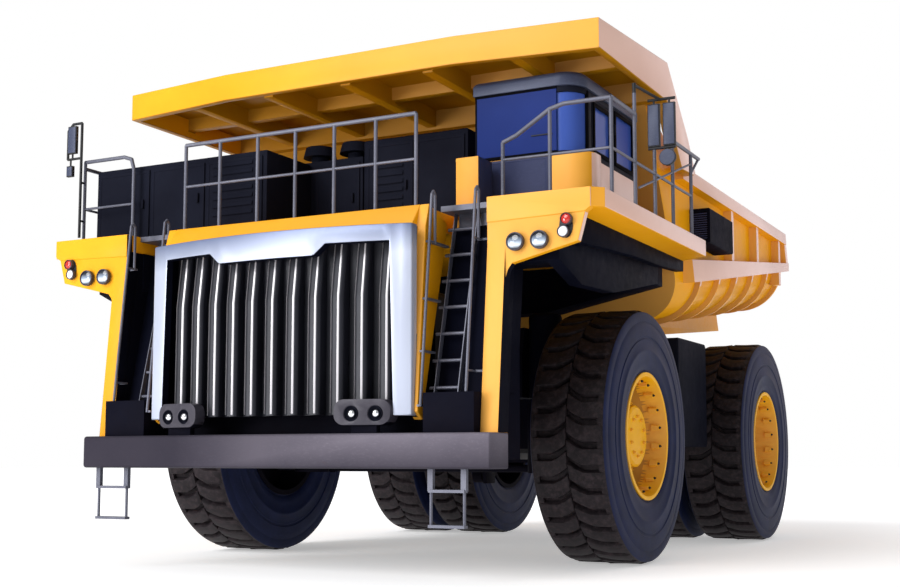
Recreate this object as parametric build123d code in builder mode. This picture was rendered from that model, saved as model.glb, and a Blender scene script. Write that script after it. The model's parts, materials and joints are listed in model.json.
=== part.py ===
# A rigid-frame mining dump truck, in millimetres.
# X runs to the truck's left, Y to its tail and Z up, and the tyres stand on Z = 0.
# Lengths along the truck are given as stations: distances behind the front axle.

import os
from math import cos, radians, sin, sqrt, tan

from build123d import *

os.makedirs("parts", exist_ok=True)


# Driving sizes of the whole truck

wheelbase = 5305
front_axle_y = -1929            # places the middle of the truck's length on Y = 0
tyre_radius = 1530
tyre_width = 940
rim_radius = 770
bead_radius = 740
front_track_outer = 3104        # outer face of a front tyre, from the middle
rear_track_outer = 3242
dual_spacing = 1100
kingpin_x = 1750
fit_gap = 0.4                   # clearance where one piece seats on another
turn_gap = 0.5                  # radial clearance of a pin or spindle in its bore
clear_gap = 8                   # room between pieces that move past each other


def station(behind):
    """Y of a place that far behind the front axle."""
    return front_axle_y + behind


rear_axle_y = station(wheelbase)
axle_z = tyre_radius


# Helpers for shapes that a designer would sketch once and reuse

def block(x, y, z, mode=Mode.ADD):
    """A box between pairs of limits."""
    with Locations((sum(x) / 2, sum(y) / 2, sum(z) / 2)):
        Box(abs(x[1] - x[0]), abs(y[1] - y[0]), abs(z[1] - z[0]), mode=mode)


def side_plate(points, x, mode=Mode.ADD):
    """An outline of (station, height) points seen from the side, between two X."""
    with BuildSketch(Plane.YZ.offset(x[0])) as outline:
        with BuildLine():
            Polyline(*[(station(y), z) for y, z in points], close=True)
        make_face()
    extrude(outline.sketch, amount=x[1] - x[0], dir=(1, 0, 0), mode=mode)


def front_plate(points, y, mode=Mode.ADD):
    """An outline of (x, height) points seen from the front, between two Y."""
    with BuildSketch(Plane.XZ.offset(-y[0])) as outline:
        with BuildLine():
            Polyline(*points, close=True)
        make_face()
    extrude(outline.sketch, amount=y[1] - y[0], dir=(0, 1, 0), mode=mode)


def top_plate(points, z, mode=Mode.ADD):
    """An outline of (x, station) points seen from above, between two heights."""
    with BuildSketch(Plane.XY.offset(z[0])) as outline:
        with BuildLine():
            Polyline(*[(x, station(y)) for x, y in points], close=True)
        make_face()
    extrude(outline.sketch, amount=z[1] - z[0], dir=(0, 0, 1), mode=mode)


def rod(start, end, radius, mode=Mode.ADD):
    """A round bar between two points."""
    way = Vector(*end) - Vector(*start)
    with BuildSketch(Plane(origin=start, z_dir=way)) as section:
        Circle(radius)
    extrude(section.sketch, amount=way.length, dir=way, mode=mode)


def turned(points, centre_x, y, z, mode=Mode.ADD):
    """A body turned about the X line through (y, z), from (x, radius) points."""
    with BuildSketch(Plane.XZ.offset(-y)) as outline:
        with BuildLine():
            Polyline(*[(centre_x + x, z + r) for x, r in points], close=True)
        make_face()
    revolve(outline.sketch, axis=Axis((0, y, z), (1, 0, 0)), mode=mode)


def save(piece, name):
    """Label a finished piece and write it to its own file."""
    piece.label = name
    export_step(piece, f"parts/{name}.step")


def save_pair(piece, stem):
    """Write the left piece and its mirror image on the right."""
    save(piece, f"{stem}_left")
    save(mirror(piece, about=Plane.YZ), f"{stem}_right")


# Frame: two box rails, cross members, the strut arms and the deck collar

rail_inner_x = 450
rail_outer_x = 800
rail_front = -2950
pivot_station = 6500
pivot_z = 2450
pivot_pin_radius = 90
rail_top_front = 2050
rail_top_rear = 2620
rail_nose_top = 1750            # under the radiator
rail_arch_z = 2150              # underside over the rear axle
rail_profile = [                # (station, height) round one rail
    (rail_front, 1350),
    (1900, 1400),
    (3900, rail_arch_z),
    (6250, rail_arch_z),
    (6760, 2300),
    (6760, rail_top_rear),
    (2500, rail_top_rear),
    (1200, rail_top_front),
    (-2400, rail_top_front),
    (-2580, rail_nose_top),
    (rail_front, rail_nose_top),
]
leg_inner_x = 1790
leg_outer_x = 2400
leg_front = -2990                # station of its front face up to the recess's floor
leg_head = -2590                # station of its front face under the deck
recess_floor = 1930
kick_front = -3370
kick_inner_x = 1830
kick_outer_x = 2410
leg_rear = -2230
leg_bottom = 1250
deck_under_z = 3760
deck_top_z = 3960
skirt_outer_x = 3300
arch_outer_x = 3100
arch_inner_x = 2950
collar_front = 650
collar_rear = 1050
collar_outer_x = 2950
collar_bottom = 3180
strut_radius = 210
arm_half_depth = 260
hoist_x = 1000
hoist_foot_station = 3700
hoist_foot_z = 1000
hoist_pin_radius = 60
barrel_radius = 130
front_member = (-2950, -2600)   # stations of the cross member behind the bumper
bumper_bottom = 1155
bumper_top = 1518
hitch_station = 6800
hitch_z = (2180, 2400)
hitch_bore_radius = 50

with BuildPart() as chassis_frame:
    side_plate(rail_profile, (rail_inner_x, rail_outer_x))
    # arm that carries the front strut
    side_plate([(-arm_half_depth, 1560), (arm_half_depth, 1560), (arm_half_depth, 2500),
                (arm_half_depth - 80, 2900), (80 - arm_half_depth, 2900), (-arm_half_depth, 2500)],
               (rail_outer_x, kingpin_x - strut_radius - fit_gap))
    block((rail_outer_x, kingpin_x), (station(-300), station(300)), (1500, 2020), Mode.SUBTRACT)
    # front leg beside the radiator, which carries the deck and the ladder
    side_plate([(leg_front, leg_bottom), (leg_front, recess_floor), (leg_head, deck_under_z),
                (leg_rear, deck_under_z), (leg_rear, leg_bottom)], (leg_inner_x, leg_outer_x))
    # plain kick box at the foot of the ladder's recess, standing on the bumper
    block((kick_inner_x, kick_outer_x), (station(kick_front), station(leg_front) + 10),
          (bumper_top + fit_gap, recess_floor))
    block((rail_outer_x, leg_inner_x), (station(front_member[0]), station(front_member[1])), (1350, rail_nose_top))
    # collar behind the cab that carries the rear of the decks
    block((rail_inner_x, rail_outer_x), (station(collar_front), station(collar_rear)),
          (rail_top_front - 100, collar_bottom))
    front_plate([(0, collar_bottom), (1500, collar_bottom), (collar_outer_x, deck_under_z - 280),
                 (collar_outer_x, deck_under_z), (0, deck_under_z)],
                (station(collar_front), station(collar_rear)))
    # hanger of the hoist foot, and its pin
    side_plate([(hoist_foot_station - 330, 1700), (hoist_foot_station - 150, hoist_foot_z - 130),
                (hoist_foot_station + 150, hoist_foot_z - 130), (hoist_foot_station + 330, rail_arch_z),
                (hoist_foot_station + 330, rail_arch_z + 180), (hoist_foot_station - 330, rail_arch_z + 180)],
               (rail_outer_x, hoist_x - barrel_radius - clear_gap))
    rod((hoist_x - 150, station(hoist_foot_station), hoist_foot_z),
        (hoist_x + 85, station(hoist_foot_station), hoist_foot_z), hoist_pin_radius)
    mirror(about=Plane.YZ)
    # cross members between the rails
    block((-rail_inner_x, rail_inner_x), (station(front_member[0]), station(front_member[1])), (1350, rail_nose_top))
    for behind, height, radius in ((900, 1700, 150), (3650, 2300, 170), (pivot_station, pivot_z, 160)):
        rod((-rail_inner_x, station(behind), height), (rail_inner_x, station(behind), height), radius)
    # tow hitch behind the rear member
    block((-160, 160), (station(pivot_station), station(hitch_station + 120)), hitch_z)
    rod((0, station(hitch_station), hitch_z[0] - 10), (0, station(hitch_station), hitch_z[1] + 10),
        hitch_bore_radius, Mode.SUBTRACT)
    # body pivot pin through the rear of the rails
    rod((-1060, station(pivot_station), pivot_z), (1060, station(pivot_station), pivot_z), pivot_pin_radius)
save(chassis_frame.part, "chassis_frame")


# Engine as one plain block on the rails, and the driveline below

engine_half_width = 700
engine_height = 1300

with BuildPart() as engine_block:
    block((-engine_half_width, engine_half_width), (station(-2250), station(300)),
          (rail_top_front, rail_top_front + engine_height))
    fillet(engine_block.edges().filter_by(Axis.Y).group_by(Axis.Z)[-1], 150)
save(engine_block.part, "engine_block")

shaft_radius = 95
banjo_radius = 500

with BuildPart() as driveline:
    block((-330, 330), (station(1750), station(3200)), (1250, 1980))
    chamfer(driveline.edges().filter_by(Axis.Y), 90)
    rod((0, station(1060), 1640), (0, station(1750), 1640), shaft_radius)
    rod((0, station(3200), 1600), (0, rear_axle_y - banjo_radius - fit_gap, 1560), shaft_radius)
    block((-rail_inner_x + fit_gap, rail_inner_x - fit_gap), (station(2300), station(2600)), (1700, 1900))
save(driveline.part, "driveline")


# Front struts, steering knuckles and the tie rod

strut_bottom = 2020
strut_top = 3080
kingpin_radius = 150
spindle_radius = 180
knuckle_radius = 235
brake_inner_x = kingpin_x + 170
front_tyre_x = front_track_outer - tyre_width / 2
hub_bore_end = front_tyre_x + 236   # X where the spindle ends inside the hub
steer_arm_y = 520
steer_arm_x = kingpin_x          # straight behind the kingpin, so that the tie rod stays square
steer_arm_z = 1130
steer_pin_radius = 40
tie_rod_radius = 48

with BuildPart() as front_struts:
    with BuildSketch(Plane(origin=(kingpin_x, front_axle_y, strut_bottom))):
        Circle(strut_radius)
        Circle(kingpin_radius + turn_gap, mode=Mode.SUBTRACT)
    extrude(amount=strut_top - strut_bottom - 150)
    with BuildSketch(Plane(origin=(kingpin_x, front_axle_y, strut_top - 150))):
        Circle(strut_radius)
    extrude(amount=150)
    fillet(front_struts.edges().group_by(Axis.Z)[-1], 60)
    mirror(about=Plane.YZ)
save(front_struts.part, "front_struts")

with BuildPart() as steering_knuckle:
    rod((kingpin_x, front_axle_y, axle_z), (kingpin_x, front_axle_y, strut_top - 400), kingpin_radius)
    rod((kingpin_x, front_axle_y, axle_z - 450), (kingpin_x, front_axle_y, strut_bottom - 60), knuckle_radius)
    # spindle and the brake housing on it
    rod((kingpin_x, front_axle_y, axle_z), (hub_bore_end, front_axle_y, axle_z), spindle_radius)
    turned([(0, 0), (0, 330), (120, 430), (330, 430), (330, 0)], brake_inner_x, front_axle_y, axle_z)
    # steering arm reaching back to the tie rod
    top_plate([(kingpin_x - 190, 60), (steer_arm_x - 90, steer_arm_y), (steer_arm_x - 60, steer_arm_y + 85),
               (steer_arm_x + 60, steer_arm_y + 85), (steer_arm_x + 90, steer_arm_y), (kingpin_x + 190, 60)],
              (steer_arm_z + 60, steer_arm_z + 140))
    rod((steer_arm_x, station(steer_arm_y), steer_arm_z - 60),
        (steer_arm_x, station(steer_arm_y), steer_arm_z + 60), steer_pin_radius)
save_pair(steering_knuckle.part, "steering_knuckle")

with BuildPart() as tie_rod:
    rod((-steer_arm_x, station(steer_arm_y), steer_arm_z), (steer_arm_x, station(steer_arm_y), steer_arm_z),
        tie_rod_radius)
    for side in (-1, 1):
        end = (side * steer_arm_x, station(steer_arm_y))
        rod((*end, steer_arm_z - 50), (*end, steer_arm_z + 50), 85)
    for side in (-1, 1):
        end = (side * steer_arm_x, station(steer_arm_y))
        rod((*end, steer_arm_z - 80), (*end, steer_arm_z + 80), steer_pin_radius + turn_gap, Mode.SUBTRACT)
save(tie_rod.part, "tie_rod")


# Rear axle, its struts and its locating frame

axle_tube_radius = 330
rear_spindle_radius = 260
inner_rear_face = rear_track_outer - tyre_width - dual_spacing
spindle_end_x = 2560
rear_strut_x = 620

with BuildPart() as rear_axle_housing:
    turned([(-spindle_end_x, 0), (-spindle_end_x, rear_spindle_radius), (-1180, rear_spindle_radius),
            (-1180, axle_tube_radius), (-620, axle_tube_radius), (-400, banjo_radius), (400, banjo_radius),
            (620, axle_tube_radius), (1180, axle_tube_radius), (1180, rear_spindle_radius),
            (spindle_end_x, rear_spindle_radius), (spindle_end_x, 0)], 0, rear_axle_y, axle_z)
    # nose that reaches forward to the frame, and the strut feet behind
    side_plate([(3560, 1230), (wheelbase, 1150), (wheelbase, 1430), (3560, 1430)], (-230, 230))
    block((-rail_inner_x + fit_gap, rail_inner_x - fit_gap), (station(3480), station(3640)), (1200, 1440))
    for side in (-1, 1):
        block((side * rear_strut_x - 130, side * rear_strut_x + 130),
              (rear_axle_y + 150, rear_axle_y + 620), (axle_z - 160, axle_z + 60))
save(rear_axle_housing.part, "rear_axle_housing")

with BuildPart() as rear_struts:
    strut_foot = (rear_strut_x, rear_axle_y + 470, axle_z + 60 + fit_gap)
    rod(strut_foot, (rear_strut_x, rear_axle_y + 470, rail_arch_z - fit_gap), 95)
    rod((rear_strut_x, rear_axle_y + 470, axle_z + 220), (rear_strut_x, rear_axle_y + 470, 2050), 140)
    mirror(about=Plane.YZ)
save(rear_struts.part, "rear_struts")


# Wheels: a tyre is turned from the bead out to the tips of its lugs

flange_half = 450
flange_thickness = 25
bead_half = flange_half - flange_thickness
lug_count = 30                  # in each of the two rows
lug_half = 82                   # half of a lug's length round the tyre
lug_slant = 110                 # how far its inner end leads
lug_straight = 190              # length of the part square to the shoulder
tread_root = tyre_radius - 85   # floor of the grooves


def tyre_ring(centre_x, y, crown):
    """A tyre's turned form out to a crown radius."""
    half = tyre_width / 2
    turned([(-bead_half + fit_gap, bead_radius + fit_gap), (-bead_half + fit_gap, rim_radius),
            (-flange_half, rim_radius + 20), (-half, 1060), (-half, 1240), (-half + 25, crown - 80),
            (-half + 90, crown - 18), (-200, crown), (200, crown), (half - 90, crown - 18),
            (half - 25, crown - 80), (half, 1240), (half, 1060), (flange_half, rim_radius + 20),
            (bead_half - fit_gap, rim_radius), (bead_half - fit_gap, bead_radius + fit_gap)],
           centre_x, y, axle_z)


def lug_prisms(centre_x, y):
    """Both staggered rows of lugs as prisms that reach past the crown."""
    half = tyre_width / 2
    for side, phase in ((1, 0), (-1, 0.5)):
        outline = [(side * (half + 10), -lug_half), (side * (half - lug_straight), -lug_half),
                   (side * 35, -lug_half + lug_slant), (side * 35, lug_half * 0.8 + lug_slant),
                   (side * (half - lug_straight), lug_half), (side * (half + 10), lug_half)]
        for index in range(lug_count):
            turn = 360 * (index + phase) / lug_count
            plane = Plane(origin=(centre_x, y, axle_z), x_dir=(1, 0, 0),
                          z_dir=(0, sin(radians(turn)), cos(radians(turn))))
            with BuildSketch(plane.offset(tread_root - 100)) as footprint:
                with BuildLine():
                    Polyline(*outline, close=True)
                make_face()
            extrude(footprint.sketch, amount=250, dir=plane.z_dir)


rear_outer_tyre_x = rear_track_outer - tyre_width / 2
rear_inner_tyre_x = rear_outer_tyre_x - dual_spacing

for name, centre_x, y in (
    ("front_tyre", front_tyre_x, front_axle_y),
    ("rear_tyre_outer", rear_outer_tyre_x, rear_axle_y),
    ("rear_tyre_inner", rear_inner_tyre_x, rear_axle_y),
):
    with BuildPart() as lugs:
        lug_prisms(centre_x, y)
    with BuildPart() as one_tyre:
        tyre_ring(centre_x, y, tyre_radius)
        add(lugs.part, mode=Mode.INTERSECT)
        tyre_ring(centre_x, y, tread_root)
    save_pair(one_tyre.part, name)

rim_wall = 40
rim_inner = bead_radius - rim_wall
flange_inner = rim_radius - 48
hub_radius = 400
disc_face = 60

with BuildPart() as front_rim:
    turned([(-flange_half, rim_inner), (-flange_half, rim_radius), (-bead_half, rim_radius),
            (-bead_half, bead_radius), (bead_half, bead_radius), (bead_half, rim_radius),
            (flange_half, rim_radius), (flange_half, flange_inner), (disc_face + 120, rim_inner - 25),
            (disc_face, 560), (disc_face, 500), (disc_face + 90, 480), (disc_face + 90, hub_radius),
            (disc_face + 230, hub_radius - 30), (disc_face + 250, hub_radius - 60), (disc_face + 250, 0),
            (hub_bore_end - front_tyre_x + 5, 0),
            (hub_bore_end - front_tyre_x + 5, spindle_radius + turn_gap),
            (-60, spindle_radius + turn_gap), (-60, 300), (0, 420), (0, rim_inner)],
           front_tyre_x, front_axle_y, axle_z)
save_pair(front_rim.part, "front_rim")

rear_disc = -120                # X of the mounting disc, from the middle of the outer tyre

with BuildPart() as rear_rims:
    turned([(flange_half, flange_inner), (flange_half, rim_radius), (bead_half, rim_radius),
            (bead_half, bead_radius), (-bead_half, bead_radius), (-bead_half, rim_radius),
            (-flange_half, rim_radius), (-dual_spacing + flange_half, rim_radius),
            (-dual_spacing + bead_half, rim_radius), (-dual_spacing + bead_half, bead_radius),
            (-dual_spacing - bead_half, bead_radius), (-dual_spacing - bead_half, rim_radius),
            (-dual_spacing - flange_half, rim_radius), (-dual_spacing - flange_half, rim_inner),
            (-dual_spacing + 300, rim_inner - 60), (-dual_spacing + 420, 560), (-dual_spacing + 300, 440),
            (-dual_spacing - 60, 400), (-dual_spacing - 60, rear_spindle_radius + turn_gap),
            (spindle_end_x - rear_outer_tyre_x + 5, rear_spindle_radius + turn_gap),
            (spindle_end_x - rear_outer_tyre_x + 5, 0), (120, 0), (120, 230), (90, 300), (rear_disc + 60, 330),
            (rear_disc + 60, 470), (rear_disc + 20, 610), (rear_disc + 160, rim_inner - 20)],
           rear_outer_tyre_x, rear_axle_y, axle_z)
save_pair(rear_rims.part, "rear_rims")


# Front bumper, bowed a little forward in the middle

bumper_half = 2635
bumper_front = -3480
bumper_bow = 140
bumper_rear = -3030
bumper_nose = 260               # depth of the beam behind its face

with BuildPart() as front_bumper:
    with BuildSketch(Plane.XY.offset(bumper_bottom)):
        with BuildLine():
            face = ThreePointArc((-bumper_half, station(bumper_front)), (0, station(bumper_front - bumper_bow)),
                                 (bumper_half, station(bumper_front)))
            Polyline((bumper_half, station(bumper_front)), (bumper_half, station(bumper_rear)),
                     (bumper_half - 260, station(bumper_rear)), (bumper_half - 260, station(-3215)),
                     (leg_inner_x, station(-3215)), (leg_inner_x - 200, station(rail_front) - fit_gap),
                     (200 - leg_inner_x, station(rail_front) - fit_gap), (-leg_inner_x, station(-3215)),
                     (260 - bumper_half, station(-3215)), (260 - bumper_half, station(bumper_rear)),
                     (-bumper_half, station(bumper_rear)), (-bumper_half, station(bumper_front)))
        make_face()
    extrude(amount=bumper_top - bumper_bottom)
    chamfer(front_bumper.edges().filter_by(GeomType.CIRCLE), 22)
save(front_bumper.part, "front_bumper")


# Grille: a bright bowed frame, dark slats and the radiator behind them

grille_bottom = 1700
grille_top = 3700
grille_side = -3390             # station of the frame's outer corner
grille_bow = 240
grille_half_bottom = 1706
grille_half_top = 1658
grille_border = 190
grille_depth = 120
slat_count = 11
radiator_half = 1586
slat_pitch = 270


def bow_sag(x):
    """How far the bowed front stands ahead of its corners at an x."""
    bow_radius = (grille_half_bottom ** 2 + grille_bow ** 2) / (2 * grille_bow)
    return grille_bow - bow_radius + sqrt(bow_radius ** 2 - x ** 2)


def bowed_wall(half, front, bow, depth, z):
    """A wall that bows forward, seen from above, between two heights."""
    with BuildSketch(Plane.XY.offset(z[0])) as outline:
        with BuildLine():
            ThreePointArc((-half, station(front)), (0, station(front - bow)), (half, station(front)))
            Line((half, station(front)), (half, station(front + depth)))
            ThreePointArc((half, station(front + depth)), (0, station(front - bow + depth)),
                          (-half, station(front + depth)))
            Line((-half, station(front + depth)), (-half, station(front)))
        make_face()
    extrude(outline.sketch, amount=z[1] - z[0], dir=(0, 0, 1))


with BuildPart() as grille_frame:
    bowed_wall(grille_half_bottom, grille_side, grille_bow, grille_depth, (grille_bottom, grille_top))
    opening = [(-grille_half_bottom + grille_border, grille_bottom - 50),
               (grille_half_bottom - grille_border, grille_bottom - 50),
               (grille_half_top - grille_border, grille_top - 180), (760, grille_top - 180),
               (620, grille_top - 300), (-620, grille_top - 300), (-760, grille_top - 180),
               (-grille_half_top + grille_border, grille_top - 180)]
    front_plate(opening, (station(grille_side - 400), station(grille_side + 300)), Mode.SUBTRACT)
save(grille_frame.part, "grille_frame")

slat_face = grille_side + 150
slat_top = grille_top - 110
slat_kink = 2980                # above it a slat leans back
slat_lean = 75
slat_wall = 30
slat_half = 78                  # half the width of one slat
slat_depth = 140
slat_round = 45                 # rounding of a slat's two front edges


def is_slat_front(edge):
    """Whether an edge is one of the long ones at the front of its slat."""
    middle = edge.center()
    behind = middle.Y - station(slat_face) + bow_sag(middle.X)
    return edge.length > slat_top - slat_kink - slat_wall and behind < slat_depth / 2


with BuildPart() as grille_slats:
    for index in range(slat_count):
        x = (index - (slat_count - 1) / 2) * slat_pitch
        face = slat_face - bow_sag(x)
        side_plate([(face, grille_bottom + 20), (face, slat_kink), (face + slat_lean, slat_top),
                    (face + slat_depth, slat_top), (face + slat_depth, grille_bottom + 20)],
                   (x - slat_half, x + slat_half))
    fillet([edge for edge in grille_slats.edges() if is_slat_front(edge)], slat_round)
    bowed_wall(radiator_half, slat_face + slat_depth - 5, grille_bow, slat_wall, (grille_bottom + 20, slat_top))
save(grille_slats.part, "grille_slats")

radiator_front = slat_face + slat_depth - 5 + slat_wall

with BuildPart() as radiator:
    front = station(radiator_front) + fit_gap
    with BuildSketch(Plane.XY.offset(rail_nose_top + fit_gap)):
        with BuildLine():
            ThreePointArc((-radiator_half, front), (0, front - grille_bow), (radiator_half, front))
            Polyline((radiator_half, front), (radiator_half, station(-2640)), (-radiator_half, station(-2640)),
                     (-radiator_half, front))
        make_face()
    extrude(amount=slat_top - rail_nose_top)
save(radiator.part, "radiator")


# Hood over the engine, with side faces that run down beside the grille

hood_top = 3950
hood_half = 1640
hood_front = -3090
hood_rear = -1500
hood_cheek = 110                # width of the face beside the grille
cheek_side = [                  # (station, height) round one cheek, from the grille's foot
    (grille_side + 50, grille_bottom + 40),
    (grille_side + 220, grille_top),
    (hood_front, hood_top),
    (-2684, 3795),
    (-2725, 3530),
    (-3195, 1800),
    (-3215, grille_bottom - 45),
]

with BuildPart() as hood:
    side_plate([(grille_side + grille_depth, grille_top + 10), (hood_front, hood_top), (hood_rear, hood_top),
                (hood_rear, hood_top - 220), (-2600, hood_top - 220), (-2600, grille_top - 80),
                (grille_side + grille_depth, grille_top - 80)], (-hood_half, hood_half))
    for side in (-1, 1):
        side_plate(cheek_side, (side * hood_half, side * (hood_half + hood_cheek)))
        block((side * hood_half, side * (grille_half_bottom + fit_gap)),
              (station(grille_side), station(grille_side + grille_depth)),
              (grille_bottom - 50, grille_top + fit_gap), Mode.SUBTRACT)
save(hood.part, "hood")


# Headlamp pods at the foot of the grille, and every lamp lens

pod_bottom = 1600
pod_top = 1870
pod_inner = 900
pod_outer = 1510                # beside the bright band
pod_front = grille_side - 40
pod_depth = 170
headlamp_z = 1722
headlamp_xs = (1090, 1350)
recess_radius = 82
recess_depth = 70

with BuildPart() as headlamp_pods:
    bowed_wall(grille_half_bottom, pod_front, grille_bow, pod_depth, (pod_bottom, pod_top))
    with BuildSketch(Plane.XZ.offset(-station(pod_front))) as pod_outline:
        with Locations(((pod_inner + pod_outer) / 2, (pod_bottom + pod_top) / 2)):
            RectangleRounded(pod_outer - pod_inner, pod_top - pod_bottom, 110)
    extrude(pod_outline.sketch, amount=600, both=True, mode=Mode.INTERSECT)
    # foot that stands on the bumper
    block((pod_inner + 150, pod_outer - 150), (station(-3500), station(-3420)), (bumper_top + fit_gap, pod_bottom + 40))
    for x in headlamp_xs:
        face = station(pod_front - bow_sag(x))
        rod((x, face - 60, headlamp_z), (x, face + recess_depth, headlamp_z), recess_radius, Mode.SUBTRACT)
    mirror(about=Plane.YZ)
save(headlamp_pods.part, "headlamp_pods")

deck_outer_x = 3670
deck_bevel = 110
post_inner_x = 2414
ladder_side_x = post_inner_x - fit_gap
post_outer_x = 2620
post_foot = -3240
post_lean = 210
panel_front = -3060
panel_wall = 90
lip_rear = panel_front + 140
panel_lower = (3418, 3423)      # outer lower corner of the lamp panel
panel_upper = (3499, 3716)      # where the lamp panel meets the deck's lip
crease_z = 3690
crease_depth = 14
lamp_depth = 60
marker_lamps = (                # x, height, radius
    (2748, 3460, 88),
    (3016, 3460, 88),
    (3312, 3652, 58),
    (3279, 3522, 58),
)

with BuildPart() as lamps:
    for x in headlamp_xs:
        seat = station(pod_front - bow_sag(x)) + recess_depth - fit_gap
        rod((x, seat, headlamp_z), (x, seat - lamp_depth, headlamp_z), recess_radius - 10)
    for x, height, radius in marker_lamps:
        rod((x, station(panel_front) - fit_gap, height), (x, station(panel_front) - lamp_depth, height), radius)
    mirror(about=Plane.YZ)
save(lamps.part, "lamps")


# Fenders: a leaning post beside each ladder, flaring into the lamp panel

with BuildPart() as fenders:
    side_plate([(post_foot, bumper_top + fit_gap), (post_foot + post_lean, deck_under_z),
                (post_foot + post_lean + 240, deck_under_z), (post_foot + 240, bumper_top + fit_gap)],
               (post_inner_x, post_outer_x))
    front_plate([(post_inner_x, deck_top_z), (post_inner_x, 3080), (post_outer_x, 3080), (post_outer_x + 30, 3185),
                 (post_outer_x + 80, 3250), panel_lower, panel_upper, (deck_outer_x - deck_bevel, deck_under_z),
                 (deck_outer_x - deck_bevel, deck_top_z)],
                (station(panel_front), station(panel_front + panel_wall)))
    # band along the top, a little proud of the lamp panel
    front_plate([(post_inner_x, deck_top_z), (post_inner_x, crease_z), panel_upper,
                 (deck_outer_x - deck_bevel, deck_under_z), (deck_outer_x - deck_bevel, deck_top_z)],
                (station(panel_front - crease_depth), station(panel_front)))
    # lip of the bevelled corner, up to the deck's side
    top_plate([(deck_outer_x - deck_bevel, panel_front), (deck_outer_x, panel_front + deck_bevel),
               (deck_outer_x, lip_rear), (deck_outer_x - deck_bevel, panel_front + panel_wall)],
              (deck_under_z, deck_top_z))
    mirror(about=Plane.YZ)
save(fenders.part, "fenders")


# Decks over the front wheels

deck_rear = 1230
deck_side_rear = 590            # where the side lip ends
skirt_rear = 840
skirt_plate = 100
deck_inner_x = 1760
landing_rear = -2500

with BuildPart() as decks:
    top_plate([(ladder_side_x, panel_front + panel_wall + fit_gap),
               (deck_outer_x - deck_bevel, panel_front + panel_wall + fit_gap),
               (deck_outer_x, lip_rear + fit_gap), (deck_outer_x, deck_side_rear),
               (skirt_outer_x, skirt_rear), (arch_outer_x, deck_rear), (deck_inner_x, deck_rear),
               (deck_inner_x, landing_rear), (ladder_side_x, landing_rear)],
              (deck_under_z + fit_gap, deck_top_z + fit_gap))
    mirror(about=Plane.YZ)
    # bridge behind the hood that joins the two sides
    block((-deck_inner_x, deck_inner_x), (station(hood_rear) + clear_gap, station(deck_rear)),
          (deck_under_z + fit_gap, deck_under_z + 140))
save(decks.part, "decks")

outer_skirt = [(-2900, deck_under_z), (skirt_rear, deck_under_z), (skirt_rear - 10, 3627), (-110, 3576),
               (-1050, 3564), (-1980, 3518), (-2650, 3481), (-2900, 3475)]
inner_skirt = [(-2780, deck_under_z), (453, deck_under_z), (410, 3433), (-1142, 3140), (-2150, 3110),
               (-2780, 3300)]

with BuildPart() as deck_skirts:
    side_plate(outer_skirt, (skirt_outer_x - skirt_plate, skirt_outer_x))
    side_plate(inner_skirt, (arch_inner_x + fit_gap, arch_outer_x))
    block((leg_outer_x + fit_gap, skirt_outer_x - skirt_plate / 2), (station(-2780), station(leg_head + 290)),
          (3500, deck_under_z))
    block((leg_outer_x + fit_gap, arch_inner_x + 10), (station(-2780), station(leg_head + 290)),
          (3300, deck_under_z))
    mirror(about=Plane.YZ)
save(deck_skirts.part, "deck_skirts")


# Ladders in their recesses with a tube rail on each side, and the steps hung below the bumper

ladder_inner_x = 1835
ladder_outer_x = 2110
stile_width = 10
stile_depth = 70
rung_inner_x = hood_half + hood_cheek + 12
ladder_foot = (-3140, recess_floor + fit_gap)   # (station, height) where a stile stands
ladder_head = (-2660, 3900)
rung_first_z = 1990
rung_pitch = 289
rung_count = 7
landing_front = -2830
landing_depth = 60
tube_radius = 16
tube_foot = (-3358, 1800)
tube_head = (-3118, 4040)
tube_loop = 36                  # half the width of the loop at the head
tube_tail_z = 3530
foot_tilt = 1.8                 # how far a leaning tube's foot dips below its centre
clip_half = 11                  # half the height of a clip
inner_tube_x = hood_half + hood_cheek + 45
outer_tube_x = 2310
clips = (                       # station and height of a clip's rear end on the cheek
    (-2725, 3530),
    (-2905, 2917),
    (-3033, 2363),
    (-3195, 1800),
)


def along_line(foot, head, z):
    """Station at a height of a straight line between two (station, height) points."""
    return foot[0] + (z - foot[1]) / (head[1] - foot[1]) * (head[0] - foot[0])


def tube_rail(x, foot_z):
    """A leaning tube rail that ends in a small loop."""
    foot = (x, station(along_line(tube_foot, tube_head, foot_z)), foot_z)
    head = (x, station(tube_head[0]), tube_head[1])
    crown = (x, station(tube_head[0] + tube_loop), tube_head[1] + tube_loop)
    turn = (x, station(tube_head[0] + 2 * tube_loop), tube_head[1])
    tail = (x, station(tube_head[0] + 2 * tube_loop), tube_tail_z - tube_radius)
    points = (foot, head, crown, turn, tail)
    for start, end in zip(points, points[1:]):
        rod(start, end, tube_radius)
    for point in points[1:-1]:
        with Locations(point):
            Sphere(tube_radius)


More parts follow.
